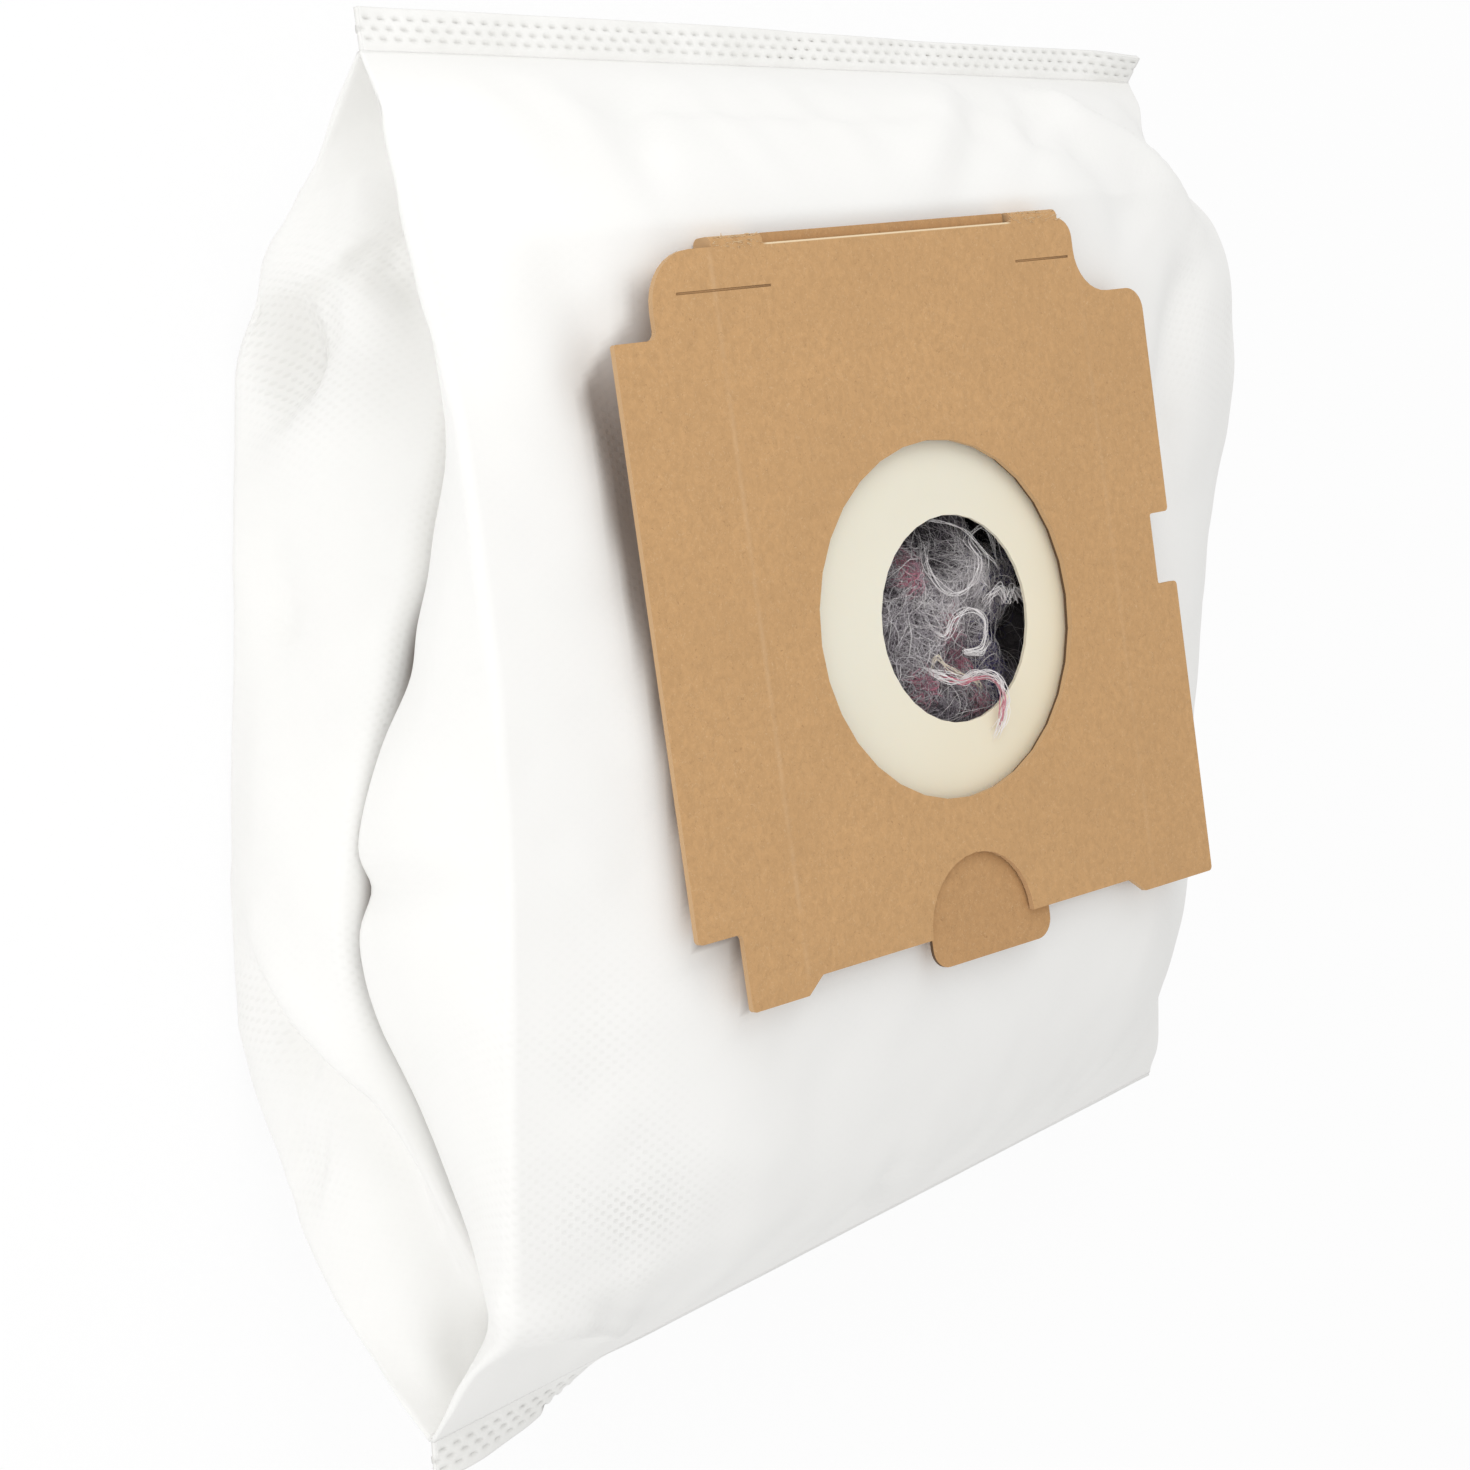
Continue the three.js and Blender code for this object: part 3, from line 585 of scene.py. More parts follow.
def dressed_sheet(layer, rows, panel_count, folds, seed):
    """The grid of a sheet with its folds and ripples, its UV and its rows' shares."""
    grid, share = sheet_grid(layer, rows, panel_count)
    uv = cloth_lengths(grid)
    normal = grid_normals(grid) * layer
    seam = step(np.minimum(share, 1 - share), 0.0, 0.05)[:, None]
    free = outside_share(grid.shape[1])[None] * seam
    x, y = grid[..., 0], grid[..., 1]
    away = np.maximum(np.maximum(np.abs(x) - PAD_HALF_WIDTH, y - PAD_TOP), PAD_BOTTOM - y)
    under_collar = 1 - step(away, 0, 14) if layer > 0 else 0
    ripple = soft_waves(uv / MM, seed, 12, 55) * 0.45 + soft_waves(uv / MM, seed + 1, 6, 14) * 0.07
    gathers = puckers(grid, share, seed + 2, 0.9)
    push = fold_heights(grid, normal, folds) + ripple * (1 - 0.9 * under_collar) + gathers
    grid = grid + normal * (push * free * (1 - under_collar * 0.7))[..., None]
    grid[..., 2] = np.maximum(grid[..., 2], FLEECE_THICK / 2)
    return grid, uv, share


def sheet_size(uv):
    """Width and length of a sheet in metres, measured along its middle row and column."""
    return (float(np.ptp(uv[uv.shape[0] // 2, :, 0])), float(np.ptp(uv[:, uv.shape[1] // 2, 1])))


def drawn_to_hole(grid):
    """The grid with the points nearest the hole's rim moved onto it, and which quads stay outside it."""
    radius = np.hypot(grid[..., 0], grid[..., 1])
    near = np.abs(radius - HOLE_RADIUS) < 1.1
    scale = np.where(near, HOLE_RADIUS / np.maximum(radius, 1), 1)
    grid = np.stack([grid[..., 0] * scale, grid[..., 1] * scale, grid[..., 2]], 2)
    middle = (grid[:-1, :-1] + grid[1:, 1:] + grid[:-1, 1:] + grid[1:, :-1]) / 4
    return grid, np.hypot(middle[..., 0], middle[..., 1]) > HOLE_RADIUS - 0.3


front_grid, front_uv, front_share = dressed_sheet(1, *FRONT_SIZE, FRONT_FOLDS, 11)
rear_grid, rear_uv, rear_share = dressed_sheet(-1, *REAR_SIZE, REAR_FOLDS, 23)
front_holed, front_kept = drawn_to_hole(front_grid)
print("front sheet", [round(v / MM) for v in sheet_size(front_uv)], "mm")
print("rear sheet", [round(v / MM) for v in sheet_size(rear_uv)], "mm")

# %% [markdown]
# Each point of a sheet keeps two numbers for the fleece's material: how crisp the lattice is there,
# and how much shade is painted on it, deep in a slit and in the gap under the card's wing, where little
# light comes in. A painted image could say the same, but numbers on the points need no file.

# %% Front and rear sheets
# for each layer the places where the lattice is crisp, each with its radius and amount
CRISP_PLACES = {
    1: [((-78, -84, 73), 16, 1.0), ((-84, -55, 76), 13, 0.35),
        ((-80, 60, 70), 10, 0.15), ((95, 45, 70), 16, 0.4)],
    -1: [((-72, 60, 14), 13, 1.0), ((-58, 70, 32), 8, 0.7),
         ((-96, -48, 8), 10, 0.5), ((-94, -75, 20), 9, 0.4)],
}
# the share of the height where the painted shade in the slit's mouth is darkest
SLIT_MOUTH_SHARE = 0.565
# how far the painted shadow in the gap under the left wing reaches from the collar's middle: beside
# the wing's foot, from low to high along the wing, and beside its upper corner
WING_FOOT, WING_LOW, WING_HIGH, WING_CORNER = 52.2, 60.4, 63.0, 53.8
WING_FOOT_Y = -42.5


def number_on(made, name, values):
    """Keeps one number for each point of the piece, for its material to read."""
    layer = made.data.attributes.new(name, "FLOAT", "POINT")
    layer.data.foreach_set("value", np.ascontiguousarray(values, dtype=np.float32).reshape(-1))


def mark_fleece(made, grid, uv, share, layer):
    """Writes where the lattice is crisp, and the painted shade deep in a slit and in the gap under the card's
    wing.
    """
    crisp = np.full(grid.shape[:2], 0.06)
    for place, radius, amount in CRISP_PLACES[layer]:
        crisp += amount * np.exp(-(np.linalg.norm(grid - place, axis=2) / radius) ** 2)
    column = np.arange(grid.shape[1])[None] + 0 * share[:, None]
    lip = uv[:, LIP_COLUMN, 0][:, None]
    from_lip = (lip - uv[..., 0]) / MM
    deep = step(from_lip, 2.5, 6.0) * (column <= LIP_COLUMN)
    # painted shade in the slits: a base level along them, darkest at the mouth and at the slip
    base = blend(0.3, 0.02, step(share, 0.58, 0.63) * (1 - step(share, 0.86, 0.95)))
    mouth = 0.6 * np.exp(-((share - SLIT_MOUTH_SHARE) / 0.035) ** 2)
    mouth += 0.3 * np.exp(-((share - SLIP_SHARE) / 0.03) ** 2)
    rim = np.exp(-((from_lip - 3.0) / 3.0) ** 2) * (column <= LIP_COLUMN + 2) * (share[:, None] > 0.3)
    x, y = grid[..., 0], grid[..., 1]
    # painted shadow in the gap under the left wing; the lattice shows crisper in it
    up_wing, corner = step(y, -45, 45), step(y, 43, 57)
    wing_edge = blend(blend(WING_LOW, WING_HIGH, up_wing), WING_CORNER, corner)
    wing_edge = np.where(y < WING_FOOT_Y, WING_FOOT, wing_edge)
    under_wing = 1 - step(-x, wing_edge, wing_edge + blend(0.8, 3.2, up_wing))
    under_wing *= (x < -50) * (layer > 0) * (column > LIP_COLUMN + 20)
    under_wing *= step(y, -56, -54) * (1 - step(y, 57, 64))
    crisp += 0.6 * under_wing * up_wing
    under_wing *= blend(0.6, 0.72, up_wing) * blend(1, 0.6, corner)
    number_on(made, "crisp", np.clip(crisp + 0.5 * rim * (layer < 0), 0, 1))
    number_on(made, "painted_shade", np.clip(deep * (base + mouth)[:, None] + under_wing, 0, 1))


front_fleece = grid_object("front_fleece", to_frame(front_holed), fleece, front_uv, FLEECE_THICK,
                           keep=front_kept)
rear_fleece = grid_object("rear_fleece", to_frame(rear_grid), fleece, rear_uv, FLEECE_THICK, flip=True)
mark_fleece(front_fleece, front_holed, front_uv, front_share, 1)
mark_fleece(rear_fleece, rear_grid, rear_uv, rear_share, -1)
for made, cad_node in ((front_fleece, "front_sheet"), (rear_fleece, "rear_sheet")):
    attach(made, "bag")
    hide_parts(cad_node)
print("fleece points:", front_grid[..., 0].size + rear_grid[..., 0].size)

# %% [markdown]
# At both ends the sheets are pressed together into a strip with three staggered rows of oval weld
# dots. The top strip stands up and curls at its right end; the bottom one turns under the bag. Its
# points are worked out from the seam: how far along it, and how far out from it. The dots are real
# dents, because light rakes along the strip and a bump would look flat there.

# %% Seam strips
STRIP_THICK = 1.1
DOT_ROWS = (2.0, 3.6, 5.2)
DOT_PITCH = 3.0
DOT_HALF = (0.95, 0.5)
DOT_DEPTH = 0.35
# points along the seam and out from it, and how far the strip reaches in under the sheets
STRIP_POINTS = (500, 24)
STRIP_INWARD = 0.8


def strip_grid(end, lift, edge_trim):
    """A strip's points (along, out, 3), the depth of its dots and its UV. lift(u) is its angle to the floor
    in radians, and edge_trim(u) how much narrower it is there."""
    share = np.array([float(end > 0)])
    left, left_slit = side_section(share, -1, 1, 0)
    right, right_slit = side_section(share, 1, 1, 0)
    seam_y = TOP_SEAM if end > 0 else BOTTOM_SEAM
    u = np.linspace(0, 1, STRIP_POINTS[0])[:, None]
    out = np.linspace(-STRIP_INWARD, STRIP_WIDTH, STRIP_POINTS[1])[None] * (1 - edge_trim(u) / STRIP_WIDTH)
    x = blend(left[0, -1, 0], right[0, -1, 0], u) + 0 * out
    rng = np.random.default_rng(5 + end)
    length, phase = rng.uniform(14, 45, 6), rng.uniform(0, 2 * np.pi, 6)
    wave = np.cos(x[..., None] * 2 * np.pi / length + phase).mean(-1)
    angle = lift(u) + 0.16 * wave
    y = blend(*seam_y, u) + end * out * np.cos(angle)
    z = blend(left_slit[0], right_slit[0], u) + out * np.sin(angle)
    along = u * SEAM_LENGTH
    depth = np.zeros(x.shape)
    for row, place in enumerate(DOT_ROWS):
        turn = (along / DOT_PITCH + 0.5 * (row % 2)) % 1 - 0.5
        away = np.hypot(turn * DOT_PITCH / DOT_HALF[0], (out - place) / DOT_HALF[1])
        depth = np.maximum(depth, 1 - step(away, 0.6, 1.25))
    uv = np.stack([along + 0 * out, out + 0 * along], 2) * MM
    return np.stack([x, y, z - DOT_DEPTH * depth], 2), depth, uv


def weld_material():
    """Pressed fleece: a little greyer than the felt, grey and smoother in the dots."""
    material, shader = new_material("weld", 0.75)
    dot = node(material, "Attribute", {"attribute_name": "dot"}).outputs["Fac"]
    place = object_place(material)
    patchy = ramp(noise(place, 120.0, 3.0), 0.3, 0.75)
    plain = blend_colour(patchy, (0.91, 0.905, 0.885), (0.86, 0.855, 0.83))
    link(blend_colour(dot, plain, (0.74, 0.735, 0.71)), shader.inputs["Base Color"])
    link(blend_colour(dot, [0.8] * 3, [0.45] * 3), shader.inputs["Roughness"])
    bump(shader, noise(place, 1300.0, 3.0, 0.7), 0.05 * MM, 0.6)
    return material


weld = weld_material()
top_grid, top_dots, top_uv = strip_grid(
    1, lambda u: 0.05 + 0.75 * step(u, 0.9, 1.0), lambda u: 0.9 * step(u, 0.35, 0.75))
bottom_grid, bottom_dots, bottom_uv = strip_grid(
    -1, lambda u: -0.15 - 1.5 * step(u, 0.04, 0.3), lambda u: 1.3 * step(u, 0.128, 0.132))
top_strip = grid_object("top_seam", to_frame(top_grid), weld, top_uv, STRIP_THICK, flip=True)
bottom_strip = grid_object("bottom_seam", to_frame(bottom_grid), weld, bottom_uv, STRIP_THICK)
for made, dots in ((top_strip, top_dots), (bottom_strip, bottom_dots)):
    number_on(made, "dot", dots)
    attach(made, "bag")
print("weld dots", len(DOT_ROWS) * round(SEAM_LENGTH / DOT_PITCH), "on each strip")

# %% [markdown]
# The collar is uncoated recycled card: warm brown, clouded, with pale and dark fibres in it. Two score
# lines run down it, where it is bent when the bag goes into its holder. Its cut edges have a tone of
# their own; on the closing slide, a little browner card, they are painted near black as shade and show
# as a thin dark line. The colours read object coordinates, so they stay on the piece when the slide
# moves. Noise is used and no image of card, because it has no seams and stays sharp from close by.

# %% Card finishes
# for each score line its x from the collar's centre, and how pale it is
SCORES = ((-42.5, 0.22), (42.5, 0.12))
# the low x, high x and y of the fresh cut along the slot at the fold
SLOT_CUT = (-31.0, 27.0, 64.5)
# how far below that y its cream rim begins and is full: the pale cut, with a painted highlight
# where its rounded edge catches the light
RIM_BELOW = (0.32, 0.22)


def distance_from(axis, at_x):
    """How far a place is to the side of a line at at_x, in mm from the collar's centre."""
    return maths("ABSOLUTE", maths("SUBTRACT", axis, (at_x + COLLAR_X) * MM))


def card_material(name, tone, edge, score=(), cut=None):
    """Card of a base tone with fibres, edges of another tone, pale score lines and a cream rim on a cut, the
    rim partly a painted highlight.
    """
    material, shader = new_material(name, 0.86)
    shader.inputs["Specular IOR Level"].default_value = 0.3
    coordinates = node(material, "TexCoord")
    place = coordinates.outputs["Object"]
    drawn = node(material, "Mapping", None, Vector=place, Scale=(1.0, 0.8, 1.0)).outputs[0]
    clouds = ramp(noise(place, 55.0, 4.0, 0.6), 0.3, 0.72)
    mottle = ramp(noise(drawn, 800.0, 4.0, 0.7, 0.6), 0.32, 0.68)
    pale = ramp(noise(drawn, 1500.0, 2.0, 0.6, 2.5), 0.58, 0.72)
    dark = ramp(noise(place, 1200.0, 2.0, 0.6, 2.5), 0.62, 0.76)
    body = blend_colour(clouds, [c * 1.03 for c in tone], [c * 0.95 for c in tone])
    body = blend_colour(mottle, body, [c * 0.80 for c in tone], 0.8)
    body = blend_colour(pale, body, (0.74, 0.53, 0.32), 0.35)
    body = blend_colour(dark, body, (0.24, 0.12, 0.05), 0.45)
    axes = node(material, "SeparateXYZ", None, Vector=place)
    height = maths("MULTIPLY", mottle, 0.5)
    for at_x, paleness in score:
        line = ramp(distance_from(axes.outputs[0], at_x), 0.75 * MM, 0.15 * MM)
        patchy = maths("MULTIPLY", line, ramp(noise(drawn, 200.0), 0.3, 0.6))
        body = blend_colour(patchy, body, (0.72, 0.50, 0.30), paleness)
        height = maths("ADD", height, maths("MULTIPLY", line, 3 * paleness))
    if cut:
        low_x, high_x, cut_y = cut
        half = (high_x - low_x) / 2
        along_cut = ramp(distance_from(axes.outputs[0], (low_x + high_x) / 2), half * MM, (half - 1) * MM)
        low_y, high_y = [(cut_y - below + COLLAR_Y) * MM for below in RIM_BELOW]
        rim = ramp(axes.outputs[1], low_y, high_y)
        # the cream rim: pale cut card, and a painted highlight along the rounded edge of the cut
        body = blend_colour(maths("MULTIPLY", rim, along_cut), body, (0.82, 0.66, 0.44))
    normal = node(material, "SeparateXYZ", None, Vector=coordinates.outputs["Normal"])
    side = ramp(maths("ABSOLUTE", normal.outputs[2]), 0.8, 0.3)
    link(blend_colour(side, body, edge), shader.inputs["Base Color"])
    bump(shader, height, 0.05 * MM, 0.7)
    return material


def finish_node(name, material):
    """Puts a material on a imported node's mesh; the mesh itself isn't changed."""
    for slot in bpy.data.objects[name].material_slots:
        slot.material = material


collar_finish = card_material("collar card", (0.60, 0.355, 0.162), (0.56, 0.36, 0.19), SCORES, SLOT_CUT)
# the slide's edges are painted near black: shade along the rim of the hole and beside the tab
slide_finish = card_material("slide card", (0.55, 0.315, 0.14), (0.13, 0.08, 0.045))
for name in ("collar_card", "guide_strip_left", "guide_strip_right"):
    finish_node(name, collar_finish)
finish_node("closing_slide", slide_finish)
print("score lines at", [at_x for at_x, paleness in SCORES])

# %% [markdown]
# Where the card is folded back, its two bridges are creased right through the skin and the fibres
# stand out. They are thin slivers, many to each millimetre, laid along the front edge of the fold. A
# bump alone would leave the fold's outline smooth.

# %% Torn fibres on the bridges
BRIDGES = ((-42.0, -31.0), (27.0, 38.7))
SLIVERS_PER_MM = 14
FOLD_TURNS_Y = 65.2


def slivers(name, start, way, sag, width, material):
    """Thin leaf shapes, one mesh: each goes from start along way, bends by sag and narrows to its tip."""
    count, steps = len(start), 5
    q = np.linspace(0, 1, steps)[None, :, None]
    spine = start[:, None] + way[:, None] * q + sag[:, None] * q * q
    across = np.cross(way, [0, 0, 1])
    across /= np.linalg.norm(across, axis=1, keepdims=True)
    lift = np.cross(across, way)
    lift /= np.linalg.norm(lift, axis=1, keepdims=True)
    round_way = np.stack([across, lift * 0.6, -across, -lift * 0.6], 1)
    taper = (width[:, None] * np.array([0.7, 1, 0.8, 0.5, 0.08])[None])[..., None, None]
    points = spine[:, :, None] + round_way[:, None] * taper
    return tube_bundle(name, to_frame(points), material)


rng = np.random.default_rng(3)
starts, ways = [], []
for low_x, high_x in BRIDGES:
    many = int((high_x - low_x) * SLIVERS_PER_MM)
    x = rng.uniform(low_x, high_x, many)
    y = SLOT_CUT[2] + rng.uniform(-0.4, 1.5, many)
    starts.append(np.stack([x, y, np.full(many, COLLAR_Z - 0.12) - 0.25 * (y > FOLD_TURNS_Y)], 1))
    ways.append(np.stack([rng.normal(0, 0.9, many), rng.normal(0, 0.25, many), rng.uniform(0, 0.3, many)], 1))
starts, ways = np.concatenate(starts), np.concatenate(ways)
sags, widths = rng.normal(0, 0.15, ways.shape), rng.uniform(0.07, 0.18, len(ways))
torn = slivers("torn_fibres", starts, ways, sags, widths,
               new_material("torn card", 0.95, Base_Color=(0.62, 0.43, 0.24, 1))[0])
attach(torn, "bag")
print("slivers", len(starts))

# %% [markdown]
# Two knife cuts stop in the front leaf near the fold. Their walls nearly touch, so each is filled with
# a sliver of card that lies a little below the surface, painted dark brown as the shade in the narrow
# cut. The imported slits are wider than real ones, and left open they would look like slots.

# %% Knife cuts
CUT_Y = 57.8
CUT_HALF = 0.18
CUTS = ((-50.4, -30.5), (27.0, 40.2))


def bar(name, low, high, material):
    """A closed box between two corners, in mm from the collar's centre."""
    corner = np.array([(low[0], low[1]), (high[0], low[1]), (high[0], high[1]), (low[0], high[1])], float)
    rings = np.stack([np.column_stack([corner, np.full(4, z)]) for z in (low[2], high[2])])
    return tube_bundle(name, to_frame(rings[None]), material)


# dark brown: card tone with the narrow cut's shade painted in
cut_shade_finish = new_material("cut card", 0.95, Base_Color=(0.38, 0.215, 0.095, 1))[0]
for i, (from_x, to_x) in enumerate(CUTS):
    made = bar("knife_cut_%d" % (i + 1), (from_x, CUT_Y - CUT_HALF, COLLAR_Z - 0.95),
               (to_x, CUT_Y + CUT_HALF, COLLAR_Z - 0.08), cut_shade_finish)
    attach(made, "bag")
print("knife cuts", CUTS)

# %% [markdown]
# The membrane is a disc of cream rubber. It is yellower towards its lower right, faintly clouded,
# and has a soft shine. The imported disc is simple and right, so it stays; a tiny bevel on it catches
# the light on the rim of the inlet.

# %% Membrane finish
INLET = np.array([3.5, -0.3])
rubber, rubber_shader = new_material("cream rubber", 0.5)
rubber_shader.inputs["Subsurface Weight"].default_value = 0.15
rubber_shader.inputs["Subsurface Radius"].default_value = (0.002, 0.0015, 0.001)
rubber_place = object_place(rubber)
rubber_axes = node(rubber, "SeparateXYZ", None, Vector=rubber_place)
across_rubber = maths("SUBTRACT", rubber_axes.outputs[0], rubber_axes.outputs[1])
lower_right_share = ramp(across_rubber, (COLLAR_X - COLLAR_Y - 15) * MM, (COLLAR_X - COLLAR_Y + 45) * MM)
rubber_clouds = ramp(noise(rubber_place, 60.0, 3.0), 0.3, 0.7)
cream = blend_colour(lower_right_share, (0.835, 0.795, 0.665), (0.855, 0.765, 0.575))
cream = blend_colour(rubber_clouds, cream, (0.72, 0.66, 0.5), 0.12)
link(cream, rubber_shader.inputs["Base Color"])
bump(rubber_shader, noise(rubber_place, 700.0, 3.0), 0.02 * MM, 0.35)
finish_node("membrane", rubber)
rim = bpy.data.objects["membrane"].modifiers.new("soft rim", "BEVEL")
rim.width = 0.12 * MM
rim.segments = 2
print("inlet centre", INLET, "mm from the collar's centre")

# %% [markdown]
# The fill is a lump of grey dust with fluff on it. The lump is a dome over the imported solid, made
# uneven by lattice noise: random heights on a lattice of cubes, blended smoothly in between. It could
# be sculpted, but a formula also tells the fibres how high the dust stands under them.

# %% Lump of dust
LINT_HALF = (46.0, 72.0)
LINT_MIDDLE = (4.0, -12.0)
LINT_TOP = 76.0
DOME_TOP = LINT_TOP - 1.5
FLUFF_TOP = LINT_TOP + 4.5
LINT_FLOOR = 0.9
LINT_SQUARE = 4.0


def lattice_noise(points, size, seed):
    """Smooth random values from -1 to 1: eight corners of a cube of that size, blended by a smooth step."""
    rng = np.random.default_rng(seed)
    table = rng.uniform(-1, 1, 4096)
    cell = np.floor(points / size).astype(np.int64)
    t = points / size - cell
    t = t * t * (3 - 2 * t)
    total = np.zeros(points.shape[:-1])
    for corner in np.ndindex(2, 2, 2):
        lattice = cell + corner
        mixed = (lattice * [73856093, 19349663, 83492791]).sum(-1) % 4096
        weight = np.prod(np.where(corner, t, 1 - t), axis=-1)
        total += weight * table[mixed]
    return total


def squarish(value, most):
    """The other side of a squarish quarter circle: (1 - v^4)^(1/4), v no more than most."""
    return (1 - np.minimum(value, most) ** LINT_SQUARE) ** (1 / LINT_SQUARE)


def lump_grid(rows, columns):
    """A dome with a flat foot: a squarish profile turned about Z, squeezed to the fill's half sizes."""
    up = np.sin(np.linspace(0, 0.998 * np.pi / 2, rows))[:, None]
    out = squarish(up, 1) * blend(0.86, 1, step(up, 0, 0.25))
    turn = np.linspace(0, 2 * np.pi, columns, endpoint=False)[None]
    x = LINT_MIDDLE[0] + LINT_HALF[0] * out * np.cos(turn)
    y = LINT_MIDDLE[1] + LINT_HALF[1] * out * np.sin(turn)
    return np.stack([x, y, blend(LINT_FLOOR, DOME_TOP, up) + 0 * turn], 2)


# hollows in the dust: place, radius and depth
HOLLOWS = [(24, 12, 6.0, 5.0), (9.5, 9.5, 3.0, 4.0), (28, -6, 5.0, 5.0), (23, -14, 3.5, 3.0),
           (14, -3.5, 2.2, 2.5)]


def lint_height(x, y):
    """How far the dust stands above its dome at a place: lumps of 8 and 4 mm, less round hollows."""
    flat = np.stack([x, y, 0 * x], -1)
    hollow = sum(deep * np.exp(-((x - u) ** 2 + (y - v) ** 2) / wide ** 2) for u, v, wide, deep in HOLLOWS)
    return lattice_noise(flat, 8.0, 1) * 2.4 + lattice_noise(flat, 4.0, 2) * 1.0 - hollow


lump = lump_grid(150, 190)
high = step(lump[..., 2], 40, 70)
lump[..., 2] += high * lint_height(lump[..., 0], lump[..., 1])
lump += ((1 - high) * lattice_noise(lump, 14.0, 3))[..., None] * [0.8, 0.8, 0]

dust, dust_shader = new_material("dust", 1.0)
dust_place = object_place(dust)
dust_clouds = ramp(noise(dust_place, 160.0, 4.0, 0.6, 0.5), 0.3, 0.7)
dust_fine = ramp(noise(dust_place, 1500.0, 4.0, 0.75, 1.5), 0.3, 0.75)
# near black to dark grey: the dust's own tone, darkened as painted shade between the fibres
dust_and_painted_shade = blend_colour(dust_clouds, (0.035, 0.03, 0.035), (0.18, 0.16, 0.165))
dust_and_painted_shade = blend_colour(dust_fine, dust_and_painted_shade, (0.34, 0.31, 0.32), 0.5)
link(dust_and_painted_shade, dust_shader.inputs["Base Color"])
bump(dust_shader, dust_fine, 0.6 * MM, 0.8)
lint_body = tube_bundle("lint_body", to_frame(lump)[None], dust)
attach(lint_body, "bag")
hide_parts("lint_fill")
print("lump", lump.shape[0] * lump.shape[1], "points")

# %% [markdown]
# A fibre starts at a place, runs in a slowly turning direction and rises and falls, so its path is a
# running sum of short steps. A tube with a few sides follows the path and narrows at both ends. Hair
# particles could do this as well, but tubes are plain meshes that any program can read.

# %% Fibres
def curls(rng, places, spread, length, bend, lift, steps=9):
    """Paths (count, steps, 3) of fibres that start near the given places, in mm. bend is how fast they turn,
    in radians for each mm, and lift how far they stand above the dust. Neighbours set out in about the
    same direction, so that they lie in locks."""
    count = len(places)
    places = np.array(places, float)
    lock = lattice_noise(np.concatenate([places, 0 * places[:, :1]], 1), 7.0, 31)[:, None]
    heading = 2 * np.pi * lock + rng.normal(0, 0.7, (count, 1)) + np.pi * rng.integers(0, 2, (count, 1))
    turn = rng.normal(0, bend, (count, 1)) + rng.normal(0, bend * 0.7, (count, steps))
    size = length * rng.uniform(0.5, 1.3, (count, 1)) / steps
    heading = heading + np.cumsum(turn * size, axis=1)
    x = places[:, :1] + rng.normal(0, spread, (count, 1)) + np.cumsum(np.cos(heading) * size, axis=1)
    y = places[:, 1:] + rng.normal(0, spread, (count, 1)) + np.cumsum(np.sin(heading) * size, axis=1)
    arch = np.sin(np.linspace(0, np.pi, steps))[None] * rng.uniform(0.2, 1, (count, 1))
    z = dome_top(x, y) + lint_height(x, y) + rng.uniform(-0.5, 0.4, (count, 1)) + lift * arch
    return np.stack([x, y, np.minimum(z, FLUFF_TOP)], 2)


def dome_top(x, y):
    """The height of the smooth dome over a place."""
    out = np.hypot((x - LINT_MIDDLE[0]) / LINT_HALF[0], (y - LINT_MIDDLE[1]) / LINT_HALF[1])
    return LINT_FLOOR + (DOME_TOP - LINT_FLOOR) * squarish(out, 0.999)


def tubes(name, paths, radius, material, sides=3):
    """Thin tubes along paths (count, steps, 3), narrowing at both ends."""
    way = np.gradient(paths, axis=1)
    way /= np.maximum(np.linalg.norm(way, axis=2, keepdims=True), 1e-9)
    across = np.cross(way, [0.31, 0.17, 0.94])
    across /= np.maximum(np.linalg.norm(across, axis=2, keepdims=True), 1e-9)
    up = np.cross(across, way)
    taper = np.minimum(1, np.sin(np.linspace(0.06, np.pi - 0.06, paths.shape[1])) * 2.5)
    radius = np.broadcast_to(radius, (len(paths),))[:, None, None, None] * taper[None, :, None, None]
    turn = np.linspace(0, 2 * np.pi, sides, endpoint=False)[None, None, :, None]
    points = paths[:, :, None] + radius * (np.cos(turn) * across[:, :, None] + np.sin(turn) * up[:, :, None])
    return tube_bundle(name, points, material)


def fluff_material(name, first, second):
    """Soft fibres whose colour wanders between two tones over a few millimetres."""
    material, shader = new_material(name, 0.9)
    place = object_place(material)
    wander = ramp(noise(place, 180.0, 3.0), 0.35, 0.65)
    link(blend_colour(wander, first, second), shader.inputs["Base Color"])
    return material


print("fibre helpers ready")

# %% [markdown]
# Fluff lies on the lump under the inlet. Thousands of thin grey fibres make the felt; fewer, thicker
# ones are white, and the pink and blue ones lie in clusters. Near-black ones lie about, and clusters of
# them are painted shade in the dust's two deepest hollows.

# %% Fluff on the dust
rng = np.random.default_rng(7)
SEEN_LOW, SEEN_HIGH = (-9.0, -21.0), (33.0, 19.0)
HOLLOW_BELOW = -0.9


def scattered(count, low=SEEN_LOW, high=SEEN_HIGH):
    """Places spread over a box, only where the dust stands high, so that dark hollows stay between."""
    places = rng.uniform(low, high, (count * 3, 2))
    return places[lint_height(places[:, 0], places[:, 1]) > HOLLOW_BELOW][:count]


def clusters(places, each):
    return np.repeat(np.array(places, float), each, axis=0)


PINK_PLACES = [(-0.5, 9), (1.0, 7.5), (8.4, -2.5), (10, -8.8), (-1, -11.5), (12.6, -16.2)]
BLUE_PLACES = [(20, -9), (23, -4), (19, 8), (24, 4), (18, -13)]
PALE_PLACES = [(14, 9), (15.5, 6.5), (13, 4), (11, 2.5), (-2, 12), (2, 4), (6, 1), (23, 2.5), (21, 1.5)]
# clusters of near-black fibres in the deepest hollows, as painted shade
PAINTED_SHADE_PLACES = [(25, 12), (8, 11)]
